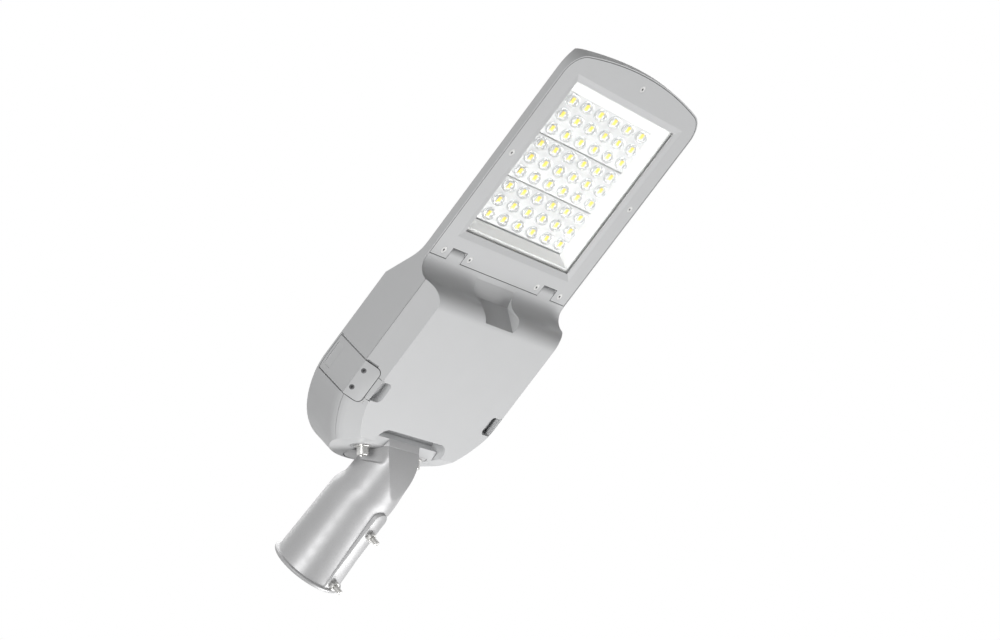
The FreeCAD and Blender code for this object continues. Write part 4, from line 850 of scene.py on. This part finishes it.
@dataclass
class Adapter:
    """Cast adapter: socket for the pole, neck with a curved flat underside, pad and inclined flange."""

    finishes: Finishes
    bore_radius: float = 30.75
    bore_depth: float = 88.0
    cable_radius: float = 13.0
    throat_x: float = 98.0
    throat_radius: float = 35.1
    neck_x: float = 112.0
    neck_radius: float = 32.5
    neck_taper: float = 0.0628
    neck_z: float = -3.5
    neck_half: float = 27.2
    pad_half: float = 9.2
    pad_z: float = -38.7
    pad_end: float = 104.0
    belly_x: float = 95.8
    belly_radius: float = 101.4
    end_x: float = 158.8
    ear_s: float = -7.4
    ear_y: float = 46.4
    ear_radius: float = 12.8
    flange_depth: float = 8.0
    arc_steps: int = 64
    flat_steps: int = 6
    neck_steps: int = 30

    def belly(self, x: float) -> float:
        """Level of the flat underside at one place along the tube."""
        run = max(0.0, x - self.belly_x)
        return self.pad_z + self.belly_radius - math.sqrt(max(0.0, self.belly_radius**2 - run**2))

    def neck_point(self, angle: float, share: float) -> Vector:
        """Point of the neck's cone.

        Args:
            angle: Angle round the neck in radians, from +Y towards +Z.
            share: Share of the way from the shoulder to the inclined end.

        Returns:
            The point in millimetres.
        """
        rise = math.sin(angle)
        reach = self.neck_radius + self.neck_x * self.neck_taper
        end = (self.end_x - self.neck_z - reach * rise) / (1.0 - self.neck_taper * rise)
        x = self.neck_x + (end - self.neck_x) * share
        radius = self.neck_radius - (x - self.neck_x) * self.neck_taper
        y = max(-self.neck_half, min(self.neck_half, radius * math.cos(angle))) if share > 0.6 else radius * math.cos(angle)
        return Vector((x, y, self.neck_z + radius * rise))

    def cut_angle(self, share: float) -> float:
        """Angle at which the neck's cone meets the flat underside."""
        low, high = -math.pi / 2, math.pi / 6
        point = self.neck_point(low, share)
        if point.z >= self.belly(point.x):
            return low
        for _ in range(40):
            middle = (low + high) / 2
            point = self.neck_point(middle, share)
            if point.z < self.belly(point.x):
                low = middle
            else:
                high = middle
        return high

    def round_ring(self, x: float, radius: float, centre_z: float = 0.0) -> list[Vector]:
        """Full ring of points across the tube, with the flat's points gathered at the bottom."""
        turn = 2 * math.pi / self.arc_steps
        ring = [
            Vector((x, radius * math.cos(step * turn - math.pi / 2), centre_z + radius * math.sin(step * turn - math.pi / 2)))
            for step in range(self.arc_steps + 1)
        ]
        return ring + [ring[0].copy() for _ in range(self.flat_steps - 1)]

    def neck_ring(self, share: float) -> list[Vector]:
        """Ring of points across the neck, with the cone's arc first and the flat after it."""
        low = self.cut_angle(share)
        span = math.pi - 2 * low
        ring = [self.neck_point(low + span * step / self.arc_steps, share) for step in range(self.arc_steps + 1)]
        flat = [ring[-1].lerp(ring[0], step / self.flat_steps) for step in range(1, self.flat_steps)]
        return ring + flat

    def shell(self, piece: Piece) -> None:
        """Draws socket, rolled collar, tube and neck as one closed shell."""
        socket = [
            (118.0, self.cable_radius), (self.bore_depth, self.cable_radius), (self.bore_depth, self.bore_radius),
            (1.0, self.bore_radius), (0.15, 31.6), (0.0, 32.4), (0.0, 40.3), (0.35, 41.1), (1.1, 41.55), (2.9, 41.55),
            (3.7, 41.0), (4.1, 39.9), (4.6, 38.9), (6.0, 38.4), (self.throat_x, self.throat_radius),
        ]
        rings = [self.round_ring(x, radius) for x, radius in socket]
        middle_x = (self.throat_x + self.neck_x) / 2
        middle_radius = (self.throat_radius + self.neck_radius) / 2
        rings.append(self.round_ring(middle_x, middle_radius + 0.35, self.neck_z * 0.45))
        rings += [self.neck_ring(step / self.neck_steps) for step in range(self.neck_steps + 1)]
        rows = [[piece.mesh.verts.new(point) for point in ring] for ring in rings]
        count = len(rows[0])
        for near, far in zip(rows, rows[1:]):
            for index in range(count):
                after = (index + 1) % count
                piece.mesh.faces.new((near[index], near[after], far[after], far[index]))
        piece.mesh.faces.new(rows[0])
        piece.mesh.faces.new(list(reversed(rows[-1])))
        bmesh.ops.remove_doubles(piece.mesh, verts=piece.mesh.verts, dist=0.002)
        bmesh.ops.dissolve_degenerate(piece.mesh, edges=piece.mesh.edges, dist=0.001)

    def pad(self, piece: Piece) -> None:
        """Draws the flat pad that carries the set screws, with a round end."""
        before = set(piece.mesh.verts)
        points = [(0.6, -self.pad_half), (0.6, self.pad_half)]
        centre = self.pad_end - self.pad_half
        for step in range(13):
            angle = math.pi / 2 - math.pi * step / 12
            points.append((centre + self.pad_half * math.cos(angle), self.pad_half * math.sin(angle)))
        base = [piece.mesh.verts.new((x, y, self.pad_z)) for x, y in points]
        face = piece.mesh.faces.new(base)
        rim = list(face.edges)
        raised = bmesh.ops.extrude_face_region(piece.mesh, geom=[face])["geom"]
        lift = [v for v in raised if isinstance(v, bmesh.types.BMVert)]
        bmesh.ops.translate(piece.mesh, vec=(0, 0, 8.0), verts=lift)
        rim = [e for e in piece.mesh.edges if e.verts[0] not in before and all(abs(v.co.z - self.pad_z) < 0.01 for v in e.verts)]
        bmesh.ops.bevel(piece.mesh, geom=rim, offset=0.7, segments=2, profile=0.5, affect="EDGES", material=-1)

    def flange(self, piece: Piece) -> None:
        """Draws the flange plate with an ear on each side, on the inclined end."""
        outline = [(12.8, -26.9), (12.8, 26.9), (self.ear_s + self.ear_radius, 29.0)]
        for step in range(17):
            angle = math.radians(90 * (1 - step / 8))
            outline.append((self.ear_s + self.ear_radius * math.sin(angle), self.ear_y + self.ear_radius * math.cos(angle)))
        outline.append((self.ear_s - self.ear_radius, 33.0))
        for step in range(1, 12):
            angle = math.pi * step / 12
            outline.append((-24.7 - 33.0 * math.sin(angle), 33.0 * math.cos(angle)))
        outline += [(s, -y) for s, y in reversed(outline[2:20])]
        tilt = Matrix.Translation((self.end_x, 0, 0)) @ Matrix.Rotation(math.radians(45), 4, "Y")
        before = set(piece.mesh.verts)
        face = piece.mesh.faces.new([piece.mesh.verts.new((s, y, 0.0)) for s, y in outline])
        raised = bmesh.ops.extrude_face_region(piece.mesh, geom=[face])["geom"]
        bmesh.ops.translate(piece.mesh, vec=(0, 0, self.flange_depth), verts=[v for v in raised if isinstance(v, bmesh.types.BMVert)])
        rim = [e for e in piece.mesh.edges if e.verts[0] not in before and all(abs(v.co.z) < 0.01 for v in e.verts)]
        bmesh.ops.bevel(piece.mesh, geom=rim, offset=0.9, segments=3, profile=0.5, affect="EDGES", material=-1)
        piece.move([v for v in piece.mesh.verts if v not in before], tilt)

    def build(self) -> bpy.types.Object:
        """Builds the adapter and puts it in the CAD adapter's place."""
        piece = Piece("pole_adapter_casting")
        self.shell(piece)
        self.pad(piece)
        self.flange(piece)
        made = piece.finish([self.finishes.slot("adapter_paint")], "base", 32.0)
        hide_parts("adapter")
        return made


@dataclass
class Studio:
    """Camera, lamps, world and floor."""

    camera_place: Vector = field(default_factory=lambda: Vector((0.8413, -2.076, -1.3999)))
    right: Vector = field(default_factory=lambda: Vector((0.5911, 0.5433, -0.5962)))
    up: Vector = field(default_factory=lambda: Vector((0.7822, -0.2057, 0.5881)))
    back: Vector = field(default_factory=lambda: Vector((0.1969, -0.8139, -0.5466)))
    lens: float = 89.33
    floor_z: float = -3.6
    floor_half: float = 9.0
    world_level: float = 0.03

    def camera(self) -> None:
        """Creates the camera at the photograph's view."""
        data = bpy.data.cameras.new("PhotoCamera")
        data.lens = self.lens
        data.sensor_width = 36.0
        data.clip_end = 60.0
        camera = bpy.data.objects.new("PhotoCamera", data)
        turn = Matrix((self.right, self.up, self.back)).transposed().to_4x4()
        camera.matrix_world = Matrix.Translation(self.camera_place) @ turn
        bpy.context.scene.collection.objects.link(camera)
        bpy.context.scene.camera = camera

    def lamp(self, name: str, place: Vector, target: Vector, size: tuple[float, float], power: float) -> None:
        """Adds a soft area lamp.

        Args:
            name: Name of the lamp.
            place: Centre of its face.
            target: Point that it faces.
            size: Width and height of its face.
            power: Power in watts.
        """
        data = bpy.data.lights.new(name, "AREA")
        data.shape = "RECTANGLE"
        data.size, data.size_y = size
        data.energy = power
        lamp = bpy.data.objects.new(name, data)
        turn = (place - target).to_track_quat("Z", "Y").to_matrix().to_4x4()
        lamp.matrix_world = Matrix.Translation(place) @ turn
        bpy.context.scene.collection.objects.link(lamp)

    def world(self) -> None:
        """Soft grey world with a white background."""
        world = bpy.data.worlds.new("SoftStudio")
        world.use_nodes = True
        bpy.context.scene.world = world
        tree = world.node_tree
        light = tree.nodes["Background"]
        light.inputs["Color"].default_value = (1.0, 1.0, 1.0, 1.0)
        light.inputs["Strength"].default_value = self.world_level
        white = tree.nodes.new("ShaderNodeBackground")
        white.inputs["Color"].default_value = (1.0, 1.0, 1.0, 1.0)
        white.inputs["Strength"].default_value = 1.0
        path = tree.nodes.new("ShaderNodeLightPath")
        seen = tree.nodes.new("ShaderNodeMath")
        seen.operation = "MAXIMUM"
        through = tree.nodes.new("ShaderNodeMath")
        through.operation = "MAXIMUM"
        mix = tree.nodes.new("ShaderNodeMixShader")
        tree.links.new(path.outputs["Is Camera Ray"], seen.inputs[0])
        tree.links.new(path.outputs["Is Glossy Ray"], seen.inputs[1])
        tree.links.new(seen.outputs[0], through.inputs[0])
        tree.links.new(path.outputs["Is Transmission Ray"], through.inputs[1])
        tree.links.new(through.outputs[0], mix.inputs[0])
        tree.links.new(light.outputs[0], mix.inputs[1])
        tree.links.new(white.outputs[0], mix.inputs[2])
        tree.links.new(mix.outputs[0], tree.nodes["World Output"].inputs["Surface"])

    def floor(self) -> None:
        """Pale floor far below the lamp."""
        sheet = NodeSheet("PaleFloor")
        sheet.link(sheet.blend(sheet.noise(0.7, 2.0), (0.78, 0.78, 0.78), (0.8, 0.8, 0.8)), sheet.surface.inputs["Base Color"])
        sheet.surface.inputs["Roughness"].default_value = 0.8
        path = sheet.add("ShaderNodeLightPath")
        sheet.surface.inputs["Emission Color"].default_value = (0.45, 0.45, 0.45, 1.0)
        seen = path.outputs["Is Camera Ray"]
        for ray in ("Is Glossy Ray", "Is Transmission Ray"):
            either = sheet.add("ShaderNodeMath")
            either.operation = "MAXIMUM"
            sheet.link(seen, either.inputs[0])
            sheet.link(path.outputs[ray], either.inputs[1])
            seen = either.outputs["Value"]
        sheet.link(seen, sheet.surface.inputs["Emission Strength"])
        mesh = bmesh.new()
        bmesh.ops.create_grid(mesh, x_segments=1, y_segments=1, size=self.floor_half)
        bmesh.ops.translate(mesh, vec=(0, 0, self.floor_z), verts=mesh.verts)
        data = bpy.data.meshes.new("Floor")
        mesh.to_mesh(data)
        mesh.free()
        data.materials.append(sheet.material)
        floor = bpy.data.objects.new("Floor", data)
        bpy.context.scene.collection.objects.link(floor)

    def build(self) -> None:
        """Sets up camera, lamps, world and floor."""
        bpy.context.scene.view_settings.view_transform = "Standard"
        self.camera()
        self.world()
        self.floor()
        middle = Vector((0.35, 0.0, 0.0))
        self.lamp("KeyLamp", middle + Vector((-1.45, 1.16, -2.23)), middle, (1.8, 1.8), 74.0)
        self.lamp("SideLamp", middle + Vector((-0.05, -2.4, -0.62)), middle, (1.0, 1.0), 33.0)
        self.lamp("TopLamp", middle + Vector((0.4, 0.9, 2.3)), middle, (2.0, 2.0), 44.0)


def dress(frame: dict, finishes: Finishes) -> None:
    """Gives every carried-over CAD node its finish.

    Args:
        frame: The loaded frame.
        finishes: All finishes of the lamp.
    """
    for slot, names in NODE_SLOTS.items():
        for name in names:
            node = frame["nodes"][name]
            for holder in node.material_slots:
                holder.material = finishes.slot(slot)
            LOG.info("%s: %s", name, slot)


def main() -> None:
    """Builds the scene in order."""
    logging.basicConfig(level=logging.INFO, format="%(message)s")
    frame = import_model()
    Studio().build()
    finishes = Finishes()
    dress(frame, finishes)
    LensField(finishes).build()
    Fasteners(finishes).build()
    LatchShields(finishes).build()
    FrameGapShade(finishes).build(bpy.data.objects["led_frame"])
    Adapter(finishes).build()


if __name__ == "__main__":
    main()
